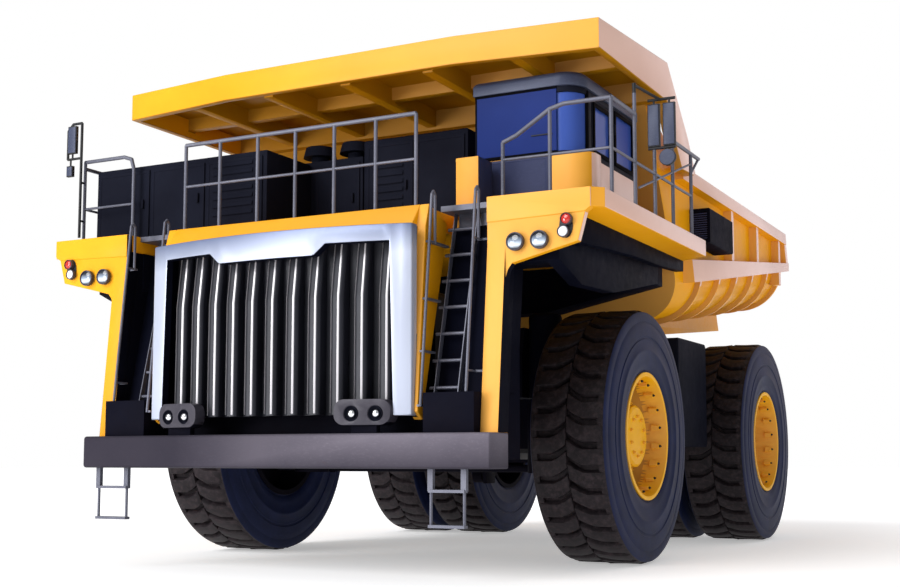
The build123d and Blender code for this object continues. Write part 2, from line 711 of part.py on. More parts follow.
with BuildPart() as ladders:
    for x in (ladder_inner_x, ladder_outer_x):
        side_plate([ladder_foot, ladder_head, (ladder_head[0] + stile_depth, ladder_head[1]),
                    (ladder_foot[0] + stile_depth, ladder_foot[1])], (x - stile_width / 2, x + stile_width / 2))
    for index in range(rung_count):
        z = rung_first_z + index * rung_pitch
        y = station(along_line(ladder_foot, ladder_head, z) + stile_depth / 2)
        rod((rung_inner_x, y, z), (ladder_outer_x + 8, y, z), 18)
    # landing at the head, between the hood and the fender's post, on a packer above the leg
    block((hood_half + hood_cheek + fit_gap, ladder_side_x - fit_gap),
          (station(landing_front), station(landing_rear) - fit_gap), (deck_top_z - landing_depth, deck_top_z))
    block((leg_inner_x + 60, leg_outer_x - 60), (station(leg_head), station(landing_rear) - fit_gap),
          (deck_under_z + fit_gap, deck_top_z - landing_depth))
    # tube rail held off the hood's cheek by flat clips
    tube_rail(inner_tube_x, tube_foot[1] - 10)
    for rear, z in clips:
        block((hood_half + hood_cheek + fit_gap, inner_tube_x + tube_radius / 2),
              (station(along_line(tube_foot, tube_head, z)), station(rear - 10)), (z - clip_half, z + clip_half))
    # tube rail on the kick box, tied to the fender's post
    tube_rail(outer_tube_x, recess_floor + foot_tilt + fit_gap)
    for z in (2150, tube_tail_z):
        y = station(along_line(tube_foot, tube_head, z))
        post_y = station(along_line((post_foot, bumper_top), (post_foot + post_lean, deck_under_z), z) + 60)
        block((outer_tube_x - clip_half / 2, outer_tube_x + clip_half / 2), (y, post_y), (z - clip_half, z + clip_half))
        block((outer_tube_x, post_inner_x - fit_gap), (post_y - 2 * clip_half, post_y), (z - clip_half, z + clip_half))
    mirror(about=Plane.YZ)
    # steps below the bumper, on bent straps
    for inner, outer in ((1890, 2270), (-2540, -2120)):
        for x in (inner, outer):
            rod((x, station(-3300), bumper_bottom - fit_gap), (x, station(-3300), 575), 16)
            block((x - 30, x + 30), (station(-3325), station(-3275)), (930, bumper_bottom - fit_gap))
        for z in (930, 575):
            block((inner - 16, outer + 16), (station(-3340), station(-3260)), (z - 15, z + 15))
save(ladders.part, "ladders")


# Cab: a hollow shell on the left deck with its windows cut, split from roof, door and glass

cab_inner_x = 1640
cab_outer_x = 2930
cab_front = -1780
cab_rear = 150
cab_floor_z = deck_top_z + 2 * fit_gap
cab_roof_z = 5440
roof_thickness = 170
cab_wall = 60
cab_corner = 260                # radius of the outer front corner, seen from above
sill_z = 4700
head_z = 5370
screen_rear = -1500             # where the wrapped windscreen ends on the cab's side
door_front = -1380
door_rear = -700
door_bottom = cab_floor_z + 110
door_top = 5370
bulge_x = (2570, 3060)          # bulged lower corner ahead of the door
glass_thickness = 12
glass_inset = 20


def cab_walls(inset, z, mode=Mode.ADD):
    """The cab's plan, drawn in by an inset, between two heights."""
    with BuildSketch(Plane.XY.offset(z[0])) as plan:
        with Locations(((cab_inner_x + cab_outer_x) / 2, station((cab_front + cab_rear) / 2))):
            Rectangle(cab_outer_x - cab_inner_x - 2 * inset, cab_rear - cab_front - 2 * inset)
        fillet(plan.vertices().sort_by_distance((cab_outer_x, station(cab_front)))[0], cab_corner - inset)
    extrude(plan.sketch, amount=z[1] - z[0], dir=(0, 0, 1), mode=mode)


screen_x = (cab_inner_x + cab_wall, cab_outer_x + 100)
screen_y = (station(cab_front - 100), station(screen_rear))
side_window_y = (station(door_rear + 90), station(cab_rear - 130))
inner_window_y = (station(cab_front + 200), station(cab_rear - 300))
rear_window_x = (cab_inner_x + 180, cab_outer_x - 180)
small_sill_z = sill_z + 60

with BuildPart() as cab_shell:
    cab_walls(0, (cab_floor_z, cab_roof_z))
    # bulged lower corner
    with BuildSketch(Plane.XY.offset(cab_floor_z)) as bulge:
        with Locations((sum(bulge_x) / 2, station((cab_front - 30 + door_front - 40) / 2))):
            Rectangle(bulge_x[1] - bulge_x[0], door_front - 40 - cab_front + 30)
        fillet(bulge.vertices().sort_by_distance((bulge_x[1], station(cab_front)))[0], cab_corner)
    extrude(bulge.sketch, amount=sill_z - 25 - cab_floor_z)
    cab_walls(cab_wall, (cab_floor_z + 80, cab_roof_z + 10), Mode.SUBTRACT)
    block(screen_x, screen_y, (sill_z, head_z), Mode.SUBTRACT)
    block((cab_outer_x - 200, cab_outer_x + 100), (station(door_front), station(door_rear)),
          (door_bottom, door_top), Mode.SUBTRACT)
    block((cab_outer_x - 200, cab_outer_x + 100), side_window_y, (small_sill_z, head_z), Mode.SUBTRACT)
    block((cab_inner_x - 100, cab_inner_x + 200), inner_window_y, (small_sill_z, head_z), Mode.SUBTRACT)
    block(rear_window_x, (station(cab_rear - 200), station(cab_rear + 100)), (small_sill_z, head_z), Mode.SUBTRACT)
save(cab_shell.part, "cab_shell")

roof_overhang = 20

with BuildPart() as cab_roof:
    cab_walls(-roof_overhang, (cab_roof_z + fit_gap, cab_roof_z + roof_thickness))
    fillet(cab_roof.edges().group_by(Axis.Z)[-1], 70)
save(cab_roof.part, "cab_roof")

door_gap = 6
door_swing_gap = 12             # at the free edge, whose inner corner swings past the jamb
door_wall = 55
door_frame = 60
hinge_offset = 26
door_glass_y = (station(door_front) + door_swing_gap + door_frame, station(door_rear) - door_gap - door_frame)
door_glass_z = (small_sill_z, door_top - door_gap - door_frame)

with BuildPart() as cab_door:
    door_y = (station(door_front) + door_swing_gap, station(door_rear) - door_gap)
    block((cab_outer_x - door_wall, cab_outer_x), door_y, (door_bottom + door_gap, door_top - door_gap))
    block((cab_outer_x - door_wall - 10, cab_outer_x + 10), door_glass_y, door_glass_z, Mode.SUBTRACT)
    # hinge knuckles on the rear edge, standing proud of the wall
    for z in (4300, 5150):
        rod((cab_outer_x + hinge_offset, station(door_rear), z - 60),
            (cab_outer_x + hinge_offset, station(door_rear), z + 60), 20)
        block((cab_outer_x, cab_outer_x + 20), (door_y[1] - 70, station(door_rear)), (z - 50, z + 50))
    # grab handle
    rod((cab_outer_x + 60, door_y[0] + 90, 4250), (cab_outer_x + 60, door_y[0] + 90, 4500), 14)
    for z in (4260, 4490):
        rod((cab_outer_x - 10, door_y[0] + 90, z), (cab_outer_x + 60, door_y[0] + 90, z), 10)
save(cab_door.part, "cab_door")


def pane(x, y, z):
    """A sheet of glass, one fitting gap inside its window."""
    gaps = [0 if abs(limits[1] - limits[0]) <= glass_thickness + 1 else fit_gap for limits in (x, y, z)]
    block(*[(min(limits) + gap, max(limits) - gap) for limits, gap in zip((x, y, z), gaps)])


outer_pane_x = (cab_outer_x - glass_inset - glass_thickness, cab_outer_x - glass_inset)

with BuildPart() as door_glass:
    pane(outer_pane_x, door_glass_y, door_glass_z)
save(door_glass.part, "door_glass")

with BuildPart() as cab_glass:
    # windscreen, wrapped round the rounded corner
    cab_walls(glass_inset, (sill_z + fit_gap, head_z - fit_gap))
    cab_walls(glass_inset + glass_thickness, (sill_z, head_z), Mode.SUBTRACT)
    block((screen_x[0] + fit_gap, screen_x[1]), (screen_y[0], screen_y[1] - fit_gap), (sill_z, head_z), Mode.INTERSECT)
    pane(outer_pane_x, side_window_y, (small_sill_z, head_z))
    pane((cab_inner_x + glass_inset, cab_inner_x + glass_inset + glass_thickness), inner_window_y,
         (small_sill_z, head_z))
    pane(rear_window_x, (station(cab_rear - glass_inset) - glass_thickness, station(cab_rear - glass_inset)),
         (small_sill_z, head_z))
save(cab_glass.part, "cab_glass")

seat_x = 2330
seat_y = station(-650)
cab_inside_z = cab_floor_z + 80 + fit_gap

with BuildPart() as operator_seat:
    block((seat_x - 140, seat_x + 140), (seat_y - 120, seat_y + 140), (cab_inside_z, cab_inside_z + 260))
    block((seat_x - 260, seat_x + 260), (seat_y - 260, seat_y + 260), (cab_inside_z + 260, cab_inside_z + 400))
    block((seat_x - 240, seat_x + 240), (seat_y + 180, seat_y + 300), (cab_inside_z + 400, cab_inside_z + 1080))
    fillet(operator_seat.edges().group_by(Axis.Z)[-1], 40)
save(operator_seat.part, "operator_seat")

with BuildPart() as dashboard:
    side_plate([(cab_front + cab_wall + 12, cab_inside_z), (cab_front + 320, cab_inside_z),
                (cab_front + 480, cab_inside_z + 500), (cab_front + 420, cab_inside_z + 620),
                (cab_front + cab_wall + 12, cab_inside_z + 420)],
               (cab_inner_x + cab_wall + 12, cab_outer_x - cab_corner - 110))
    # steering column and wheel
    rod((seat_x, station(cab_front + 380), cab_inside_z + 480), (seat_x, station(cab_front + 560), cab_inside_z + 660), 35)
    wheel_plane = Plane(origin=(seat_x, station(cab_front + 560), cab_inside_z + 660), z_dir=(0, 1, 1))
    with BuildSketch(wheel_plane):
        Circle(230)
        Circle(190, mode=Mode.SUBTRACT)
        Rectangle(400, 44)
        Circle(60)
    extrude(amount=34)
save(dashboard.part, "dashboard")


# Cabinets, air cleaners and other boxes on the decks

cabinet_z = deck_top_z + 2 * fit_gap
deck_boxes = (                  # x limits, stations, top
    ((-3490, -820), (-2440, -1500), 4960),
    ((-1150, -60), (-1480, -350), 5000),
    ((-40, 1400), (-1480, -500), 5190),
    ((1640, 1920), (-2260, -1900), 4620),
)

with BuildPart() as deck_cabinets:
    for x, (front, rear), top in deck_boxes:
        inboard = abs(sum(x) / 2) < deck_inner_x and front > hood_rear
        foot = deck_under_z + 140 + fit_gap if inboard else cabinet_z
        block(x, (station(front), station(rear)), (foot, top))
    block((-1700, -820), (station(-2440), station(-1500)), (hood_top + fit_gap, 4960))
    chamfer(deck_cabinets.edges().group_by(Axis.Z)[-1], 18)
save(deck_cabinets.part, "deck_cabinets")

intake_radius = 215

with BuildPart() as air_intakes:
    for x in (-890, -340):
        y = station(-1180)
        rod((x, y, 5000 + fit_gap), (x, y, 5120), 110)
        with BuildSketch(Plane(origin=(x, y, 5120))):
            Circle(intake_radius)
        extrude(amount=130, taper=14)
save(air_intakes.part, "air_intakes")


# Handrails round the decks and the hood

post_radius = 21
top_rail_radius = 24
mid_rail_radius = 16
rail_z = 4990
rail_mid_z = 4460
rail_x = 3600                   # side rails, just inside the deck's edge
rail_front_y = -2560
rail_bend = 160                 # how far a top rail's bend is cut across
low_rail_x = 2362               # where the rail ahead of the cab steps down
low_rail_z = 4650
step_rail_x = 2912
right_rail_x = -2787
right_rail_z = 5076
hood_rail_y = -3040
hood_rail_z = 4960
hood_rail_mid_z = 4460
deck_foot_z = deck_top_z + 2 * fit_gap
side_posts = (-1830, -1160, -500, 230)      # stations
mirror_post_top = 5220
mirror_bar_z = 4750
mirror_arm_radius = 17
rail_tail = 560                 # station of the side rails' rear loop
left_top_rails = ((rail_front_y, side_posts[0]), (side_posts[2], rail_tail))
right_top_rails = ((rail_front_y, rail_tail),)
hood_post_xs = (-1560, -1056, -520, 0, 520, 1056, 1560)


def top_rail(points):
    """A rail run through a few points, with a ball at each bend."""
    for start, end in zip(points, points[1:]):
        rod(start, end, top_rail_radius)
    for point in points[1:-1]:
        with Locations(point):
            Sphere(top_rail_radius)


with BuildPart() as deck_rails:
    front = station(rail_front_y)
    mid_rear = station(side_posts[-1])
    left_tops = (mirror_post_top, mirror_bar_z - mirror_arm_radius - fit_gap, rail_z, rail_z)
    for side, tops, runs in ((1, left_tops, left_top_rails), (-1, [rail_z] * len(side_posts), right_top_rails)):
        x = side * rail_x
        for behind, top in zip(side_posts, tops):
            rod((x, station(behind), deck_foot_z), (x, station(behind), top), post_radius)
        for run_front, run_rear in runs:
            rod((x, station(run_front), rail_z), (x, station(run_rear), rail_z), top_rail_radius)
        rod((x, front, rail_mid_z), (x, mid_rear, rail_mid_z), mid_rail_radius)
        # rear loop, sloping back down to the last post
        with Locations((x, station(rail_tail), rail_z)):
            Sphere(top_rail_radius)
        rod((x, station(rail_tail), rail_z), (x, mid_rear, rail_z - 250), mid_rail_radius)
    rod((rail_x, front, deck_foot_z), (rail_x, front, rail_z), post_radius)
    # brace across the bays under the mirrors
    rod((rail_x, station(side_posts[0] + 130), 4200), (rail_x, mid_rear, 4860), mid_rail_radius - 3)
    # rail ahead of the cab walkway, stepping up from its low end
    rod((low_rail_x, front, deck_foot_z), (low_rail_x, front, low_rail_z), post_radius)
    rod((step_rail_x, front, deck_foot_z), (step_rail_x, front, rail_z - 40), post_radius)
    top_rail([(low_rail_x, front, low_rail_z), (low_rail_x + rail_bend, front, low_rail_z + 60),
              (step_rail_x, front, rail_z - 40), (step_rail_x + rail_bend, front, rail_z), (rail_x, front, rail_z)])
    rod((low_rail_x, front, rail_mid_z), (rail_x, front, rail_mid_z), mid_rail_radius)
    # rail ahead of the right deck, with its corner bent down into the post
    rod((right_rail_x, front, deck_foot_z), (right_rail_x, front, right_rail_z - rail_bend), post_radius)
    top_rail([(right_rail_x, front, right_rail_z - rail_bend - 10),
              (right_rail_x - rail_bend / 4, front, right_rail_z - rail_bend / 4),
              (right_rail_x - rail_bend, front, right_rail_z), (-rail_x, front, right_rail_z)])
    rod((-rail_x, front, deck_foot_z), (-rail_x, front, right_rail_z), post_radius)
    rod((right_rail_x, front, rail_mid_z), (-rail_x, front, rail_mid_z), mid_rail_radius)
    # rail along the front of the hood
    y = station(hood_rail_y)
    for x in hood_post_xs:
        rod((x, y, hood_top + fit_gap), (x, y, hood_rail_z), post_radius)
    rod((hood_post_xs[0], y, hood_rail_z), (hood_post_xs[-1], y, hood_rail_z), top_rail_radius)
    rod((hood_post_xs[0], y, hood_rail_mid_z), (hood_post_xs[-1], y, hood_rail_mid_z), mid_rail_radius)
save(deck_rails.part, "deck_rails")


# Mirrors on their brackets

mirror_reach = 3850
mirror_width = 140
mirror_gap = 40
mirror_depth = 40
mirror_z = (4770, 5260)
mirror_arm_z = 5310
left_mirror_y = side_posts[1]
round_mirror_z = 4635
round_mirror_radius = 95
right_mirror_x = rail_x
right_mirror_y = -2640
right_mirror_z = (5190, 5550)
right_frame_z = (5120, 5580)

with BuildPart() as mirrors:
    y = station(left_mirror_y)
    # left: two tall mirrors on an arm from a rail post, and a round one below
    arm_post_y = station(side_posts[0])
    inner_edge = mirror_reach - 2 * mirror_width - mirror_gap
    rod((rail_x, arm_post_y, mirror_post_top + fit_gap), (rail_x, arm_post_y, mirror_arm_z + 20), post_radius)
    rod((rail_x, arm_post_y, mirror_arm_z), (inner_edge + mirror_width, y, mirror_arm_z), mirror_arm_radius - 1)
    rod((inner_edge, y, mirror_arm_z), (mirror_reach, y, mirror_arm_z), mirror_arm_radius)
    rod((inner_edge, y, mirror_bar_z), (mirror_reach, y, mirror_bar_z), mirror_arm_radius)
    for edge in (inner_edge, mirror_reach - mirror_width):
        block((edge, edge + mirror_width), (y - mirror_depth / 2, y + mirror_depth / 2), mirror_z)
        rod((edge + mirror_width / 2, y, mirror_z[1] - 30), (edge + mirror_width / 2, y, mirror_arm_z), 12)
        rod((edge + mirror_width / 2, y, mirror_bar_z), (edge + mirror_width / 2, y, mirror_z[0] + 30), 12)
    round_x = mirror_reach - round_mirror_radius
    rod((round_x, y, mirror_bar_z), (round_x, y, round_mirror_z), 12)
    rod((round_x, y - 20, round_mirror_z), (round_x, y + 20, round_mirror_z), round_mirror_radius)
    # right: one framed mirror ahead of the deck's corner, on a tall post
    y = station(right_mirror_y)
    outer = -mirror_reach
    rod((-right_mirror_x, y, 4080), (-right_mirror_x, y, right_frame_z[1]), 18)
    for z in (4300, 4800):
        rod((-right_mirror_x, y, z), (-rail_x, station(rail_front_y) - post_radius - fit_gap, z), 14)
    rod((-right_mirror_x, y, right_frame_z[1]), (outer + 100, y, right_frame_z[1]), mirror_arm_radius)
    rod((outer + 100, y, right_frame_z[1]), (outer + 20, y, right_frame_z[1] - 80), mirror_arm_radius - 1)
    rod((outer + 20, y, right_frame_z[1] - 80), (outer + 20, y, right_frame_z[0]), mirror_arm_radius)
    rod((outer + 20, y, right_frame_z[0]), (-right_mirror_x, y, right_frame_z[0]), mirror_arm_radius - 1)
    block((outer + 30, outer + 30 + mirror_width), (y - 20, y + 20), right_mirror_z)
    rod((outer + 100, y, right_mirror_z[1] - 20), (outer + 100, y, right_frame_z[1]), 12)
    rod((outer + 100, y, right_mirror_z[0] + 20), (outer + 100, y, right_frame_z[0]), 12)
    # small lower mirror
    block((outer + 20, outer + 120), (y - 20, y + 20), (4890, 5030))
    rod((outer + 70, y, 5020), (outer + 70, y, right_frame_z[0]), 12)
save(mirrors.part, "mirrors")


# Tanks hung between the front and rear wheels

tank_inner_x = 820
tank_outer_x = 2780
tank_front = 2220
tank_rear = 3560
tank_bottom = 1430
tank_top = 2930

with BuildPart() as fuel_tank:
    block((-tank_outer_x, -1250), (station(tank_front), station(tank_rear)), (tank_bottom, tank_top))
    fillet(fuel_tank.edges().filter_by(Axis.X), 160)
    block((-1250, -rail_outer_x - fit_gap), (station(tank_front + 250), station(tank_front + 650)), (2150, 2450))
save(fuel_tank.part, "fuel_tank")

with BuildPart() as hydraulic_tank:
    block((1250, tank_outer_x), (station(tank_front), station(tank_rear)), (tank_bottom, tank_top))
    fillet(hydraulic_tank.edges().filter_by(Axis.X), 60)
    block((rail_outer_x + fit_gap, 1250), (station(tank_front + 250), station(tank_front + 650)), (2150, 2450))
save(hydraulic_tank.part, "hydraulic_tank")


# Dump body: a deep tub on two floor beams, hinged at the rear of the frame

floor_slope = 8.15
hoist_eye_station = 4200
hoist_eye_z = 3200
body_half = 3000
body_wall = 70
belly_corner = 620
body_tail = 7400
body_front = 1720               # station of the headboard's foot
body_top = 5130
tail_floor_z = 3930
headboard_top_station = 330
canopy_under = 5710
floor_beam_top = 3100


def floor_z(behind):
    """Height of the belly's underside at a station."""
    return tail_floor_z - (body_tail - behind) * tan(radians(floor_slope))


belly_plane = Plane(origin=(0, station(body_tail), tail_floor_z), x_dir=(1, 0, 0),
                    z_dir=(0, -cos(radians(floor_slope)), -sin(radians(floor_slope))))


def trough(half, bottom, corner, mode=Mode.ADD):
    """A round-cornered U section run forward along the sloping floor from behind the tail."""
    with BuildSketch(belly_plane.offset(-900)) as section:
        with Locations((0, bottom)):
            Rectangle(2 * half, 4200, align=(Align.CENTER, Align.MIN))
        fillet(section.vertices().group_by(Axis.Y)[0], corner)
    extrude(section.sketch, amount=8200, dir=belly_plane.z_dir, mode=mode)


def headboard(height):
    """Station of the headboard's front face at a height."""
    share = (height - floor_z(body_front)) / (canopy_under - floor_z(body_front))
    return body_front + share * (headboard_top_station - body_front)


low = floor_z(body_front) - 600
high = body_top + 1500
headboard_depth = 110
tail_lip = (body_tail + 85, 4600)
body_side = [(headboard(low), low), (body_tail - 60, low), (body_tail, tail_floor_z), tail_lip,
             (body_tail - 105, body_top), (headboard(body_top) + 1150, body_top),
             (headboard(canopy_under) + headboard_depth + 40, canopy_under), (headboard(canopy_under), canopy_under)]
load_side = [(headboard(low) + headboard_depth, low), (body_tail + 900, low), (body_tail + 900, high),
             (headboard(high) + headboard_depth, high)]
side_rail_x = 3150
top_rail_depth = 180
top_rail_front = 1400
lower_rail_front = ((1830, 3621), (1735, 3917))
lower_rail_tail = ((body_tail + 75, 4508), (body_tail + 88, 4651))
rib_stations = (body_tail - 3540, body_tail - 2040, body_tail - 550)
rib_width = 130
belly_rib_first = 2400
belly_rib_count = 6
belly_rib_pitch = (body_tail - 240 - belly_rib_first) / (belly_rib_count - 1)
belly_rib_width = 70
belly_rib_depth = 75
beam_inner_x = 470
beam_outer_x = 780
bolster_x = (2020, 2140)
pad_gap = 20
beam_tail = min(pivot_station + 400, body_tail - 300)
bolster_tail = beam_tail - 340

with BuildPart() as load_space:
    trough(body_half - body_wall, body_wall, belly_corner - body_wall)
    side_plate(load_side, (-body_half, body_half), Mode.INTERSECT)

with BuildPart() as belly_rings:
    trough(body_half + belly_rib_depth, -belly_rib_depth, belly_corner + belly_rib_depth)
    trough(body_half - 20, 20, belly_corner - 20, Mode.SUBTRACT)

with BuildPart() as belly_ribs:
    for index in range(belly_rib_count):
        y = belly_rib_first + index * belly_rib_pitch
        side_plate([(y, 2400), (y + belly_rib_width, 2400), (y + belly_rib_width, floor_z(y) + 620),
                    (y, floor_z(y) + 620)], (-body_half - 200, body_half + 200))
    add(belly_rings.part, mode=Mode.INTERSECT)

with BuildPart() as dump_body:
    trough(body_half, 0, belly_corner)
    side_plate(body_side, (-body_half - 10, body_half + 10), Mode.INTERSECT)
    add(load_space.part, mode=Mode.SUBTRACT)
    add(belly_ribs.part)
    for side in (-1, 1):
        # top rail, sloping lower rail and upright ribs outside each wall
        side_plate([(top_rail_front, body_top - top_rail_depth), (body_tail - 60, body_top - top_rail_depth),
                    (body_tail - 105, body_top), (top_rail_front, body_top)],
                   (side * (body_half - 30), side * side_rail_x))
        side_plate([lower_rail_front[0], lower_rail_tail[0], lower_rail_tail[1], lower_rail_front[1]],
                   (side * (body_half - 30), side * side_rail_x))
        for y in rib_stations:
            side_plate([(y, 4200), (y + rib_width, 4200), (y + rib_width, body_top - 60), (y, body_top - 60)],
                       (side * (body_half - 30), side * (side_rail_x - 30)))
        side_plate([tail_lip, (body_tail - 105, body_top), (body_tail - 235, body_top),
                    (body_tail - 60, 4600)], (side * (body_half - 30), side * (side_rail_x - 10)))
        # floor beam that rests on the frame rail, and the hinge lug beside it
        side_plate([(1800, rail_top_rear + 300), (2560, rail_top_rear + pad_gap), (6250, rail_top_rear + pad_gap),
                    (beam_tail, floor_z(beam_tail) + 30), (1800, floor_z(1800) + 30)],
                   (side * beam_inner_x, side * beam_outer_x))
        side_plate([(pivot_station - 420, floor_z(pivot_station - 420) + 30), (pivot_station - 170, pivot_z - 60),
                    (pivot_station - 70, pivot_z - 190), (pivot_station + 70, pivot_z - 190),
                    (pivot_station + 170, pivot_z - 60), (pivot_station + 330, floor_z(pivot_station + 330) + 30)],
                   (side * (rail_outer_x + clear_gap), side * 1000))
        rod((side * (rail_outer_x - 40), station(pivot_station), pivot_z),
            (side * 1010, station(pivot_station), pivot_z),
            pivot_pin_radius + turn_gap, Mode.SUBTRACT)
        # deep longitudinal below the belly, with its slanted rear end
        side_plate([(1790, floor_z(1790) + 60), (2000, 2945), (bolster_tail, 3430),
                    (bolster_tail - 180, floor_z(bolster_tail - 180) + 60)],
                   (side * bolster_x[0], side * bolster_x[1]))
        # cheeks of the hoist's upper pin
        for inner, outer in ((hoist_x - 140, hoist_x - 88), (hoist_x + 88, hoist_x + 140)):
            side_plate([(hoist_eye_station - 200, floor_z(hoist_eye_station - 200) + 40),
                        (hoist_eye_station - 110, hoist_eye_z - 70), (hoist_eye_station + 110, hoist_eye_z - 70),
                        (hoist_eye_station + 200, floor_z(hoist_eye_station + 200) + 40)],
                       (side * inner, side * outer))
save(dump_body.part, "dump_body")


# Boxed cooler on the tub's left wall, behind the cab

side_box_x = side_rail_x + 140
side_box_stations = (2130, 3290)
side_box_z = (4200, 4680)

with BuildPart() as body_side_box:
    block((body_half + fit_gap, side_box_x), (station(side_box_stations[0]), station(side_box_stations[1])), side_box_z)
    chamfer(body_side_box.edges().filter_by(Axis.Y), 14)
    # shallow frame round the front face
    block((body_half + 40, side_box_x - 40), (station(side_box_stations[0]), station(side_box_stations[0] + 25)),
          (side_box_z[0] + 40, side_box_z[1] - 40), Mode.SUBTRACT)
save(body_side_box.part, "body_side_box")


# Canopy over the cab and hood, fixed to the headboard

canopy_half = 3290
canopy_corner = -2060
canopy_nose = -2270
canopy_flat_half = 1600
canopy_lip_top = 6040
canopy_peak = (350, 6220)
canopy_plate = 60

with BuildPart() as dump_canopy:
    plan = [(-canopy_half, canopy_corner), (-canopy_flat_half, canopy_nose), (canopy_flat_half, canopy_nose),
            (canopy_half, canopy_corner), (canopy_half, 2300), (-canopy_half, 2300)]
    top_plate(plan, (canopy_under - 800, canopy_peak[1] + 200))
    # outer form seen from the side
    outer_side = [(canopy_nose - 10, canopy_under + fit_gap), (headboard(canopy_under), canopy_under + fit_gap),
                  (headboard(canopy_under) + headboard_depth + 40, canopy_under + fit_gap),
                  (headboard(canopy_under) + headboard_depth + 80, canopy_under + 200),
                  canopy_peak, (canopy_nose - 10, canopy_lip_top)]
    side_plate(outer_side, (-canopy_half, canopy_half), Mode.INTERSECT)
    # hollow below, leaving the lip, the side plates and the roof sheet
    top_plate([(-canopy_half + 90, canopy_corner + 90), (-canopy_flat_half, canopy_nose + 90),
               (canopy_flat_half, canopy_nose + 90), (canopy_half - 90, canopy_corner + 90),
               (canopy_half - 90, 200), (-canopy_half + 90, 200)], (canopy_under - 50, canopy_lip_top - canopy_plate),
              Mode.SUBTRACT)
    # ribs below the sheet
    for x in (-2250, -1130, 0, 1130, 2250):
        block((x - 70, x + 70), (station(canopy_corner + 60), station(300)), (canopy_under + 40, canopy_lip_top - 50))
    block((-canopy_half + 60, canopy_half - 60), (station(-1000), station(-860)), (canopy_under + 100, canopy_lip_top - 50))
    for side in (-1, 1):
        side_plate([canopy_peak, (1180, 5430), (top_rail_front + 90, body_top - 100),
                    (top_rail_front, body_top - top_rail_depth + 30), (900, 4960), (headboard(5400), 5400),
                    (headboard(canopy_under), canopy_under + fit_gap)],
                   (side * (side_rail_x + fit_gap), side * canopy_half))
save(dump_canopy.part, "dump_canopy")


# Hoist cylinders: a barrel on the frame's pin, and a rod whose eye sits between the body's cheeks

barrel_length = 2060
rod_radius = 75
eye_radius = 110
hoist_foot = Vector(hoist_x, station(hoist_foot_station), hoist_foot_z)
hoist_eye = Vector(hoist_x, station(hoist_eye_station), hoist_eye_z)
hoist_way = (hoist_eye - hoist_foot).normalized()
hoist_length = (hoist_eye - hoist_foot).length


def along(distance):
    """A point that far up the hoist from its foot pin."""
    return tuple(hoist_foot + hoist_way * distance)


with BuildPart() as hoist_barrel:
    rod(along(90), along(barrel_length), barrel_radius)
    rod((hoist_x - 85, hoist_foot.Y, hoist_foot.Z), (hoist_x + 75, hoist_foot.Y, hoist_foot.Z), 120)
    rod(along(190), along(barrel_length - 100), rod_radius + 12, Mode.SUBTRACT)
    rod(along(barrel_length - 120), along(barrel_length + 10), rod_radius + turn_gap, Mode.SUBTRACT)
    rod((hoist_x - 200, hoist_foot.Y, hoist_foot.Z), (hoist_x + 200, hoist_foot.Y, hoist_foot.Z),
        hoist_pin_radius + turn_gap, Mode.SUBTRACT)
save_pair(hoist_barrel.part, "hoist_barrel")

with BuildPart() as hoist_rod:
    rod(along(200), along(hoist_length - 60), rod_radius)
    rod((hoist_x - 78, hoist_eye.Y, hoist_eye.Z), (hoist_x + 78, hoist_eye.Y, hoist_eye.Z), eye_radius)
save_pair(hoist_rod.part, "hoist_rod")
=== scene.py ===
# %% [markdown]
# A mining dump truck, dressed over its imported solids.
# The solids give every size and place. This lesson adds what makes them look real:
# rounded sheet edges, tyre tread, bolts, lamps, glass and worked finishes.

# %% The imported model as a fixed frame
import json
from math import pi, radians, sqrt

import bpy
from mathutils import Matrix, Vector


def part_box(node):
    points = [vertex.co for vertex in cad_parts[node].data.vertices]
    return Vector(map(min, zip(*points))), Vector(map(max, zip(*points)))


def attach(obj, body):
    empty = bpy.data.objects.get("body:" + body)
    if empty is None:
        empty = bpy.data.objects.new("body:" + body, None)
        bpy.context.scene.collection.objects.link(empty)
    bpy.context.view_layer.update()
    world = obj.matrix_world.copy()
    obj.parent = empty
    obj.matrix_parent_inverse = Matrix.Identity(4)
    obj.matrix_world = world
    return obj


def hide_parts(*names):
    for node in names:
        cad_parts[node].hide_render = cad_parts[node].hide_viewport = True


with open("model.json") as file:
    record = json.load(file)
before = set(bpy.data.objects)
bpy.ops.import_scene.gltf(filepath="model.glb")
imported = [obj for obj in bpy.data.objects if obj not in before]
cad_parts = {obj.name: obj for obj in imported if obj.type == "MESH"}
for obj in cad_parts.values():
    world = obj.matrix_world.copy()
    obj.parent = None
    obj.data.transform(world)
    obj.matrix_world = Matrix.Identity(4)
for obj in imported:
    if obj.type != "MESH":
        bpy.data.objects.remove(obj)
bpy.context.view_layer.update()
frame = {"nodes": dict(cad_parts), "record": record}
nodes = frame["nodes"]

# %% [markdown]
# Everything below is placed from a few lengths of the truck, read from the solids.
# A station is a distance behind the front axle, which is how such a truck is measured.

# %% Driving lengths, in metres
tyre_radius = 1.53
wheelbase = 5.305
front_axle_y = sum(corner.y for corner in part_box("front_tyre_left")) / 2
deck_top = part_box("decks")[1].z


def station(behind):
    """Y of a place that far behind the front axle."""
    return front_axle_y + behind


grille_half = 1.706
grille_bow = 0.240
bow_radius = (grille_half ** 2 + grille_bow ** 2) / (2 * grille_bow)


def bow_sag(x):
    """How far the bowed grille stands ahead of its corners at an x."""
    return grille_bow - bow_radius + sqrt(bow_radius ** 2 - x ** 2)


print("front axle at", round(front_axle_y, 3), "deck at", round(deck_top, 3))

# %% [markdown]
# The camera stands low, a little to the truck's left of its nose, as tall as a person's waist.
# Its lens is a normal one. The frame is shifted up a little, as if cut from a taller picture,
# which keeps the upright edges upright.

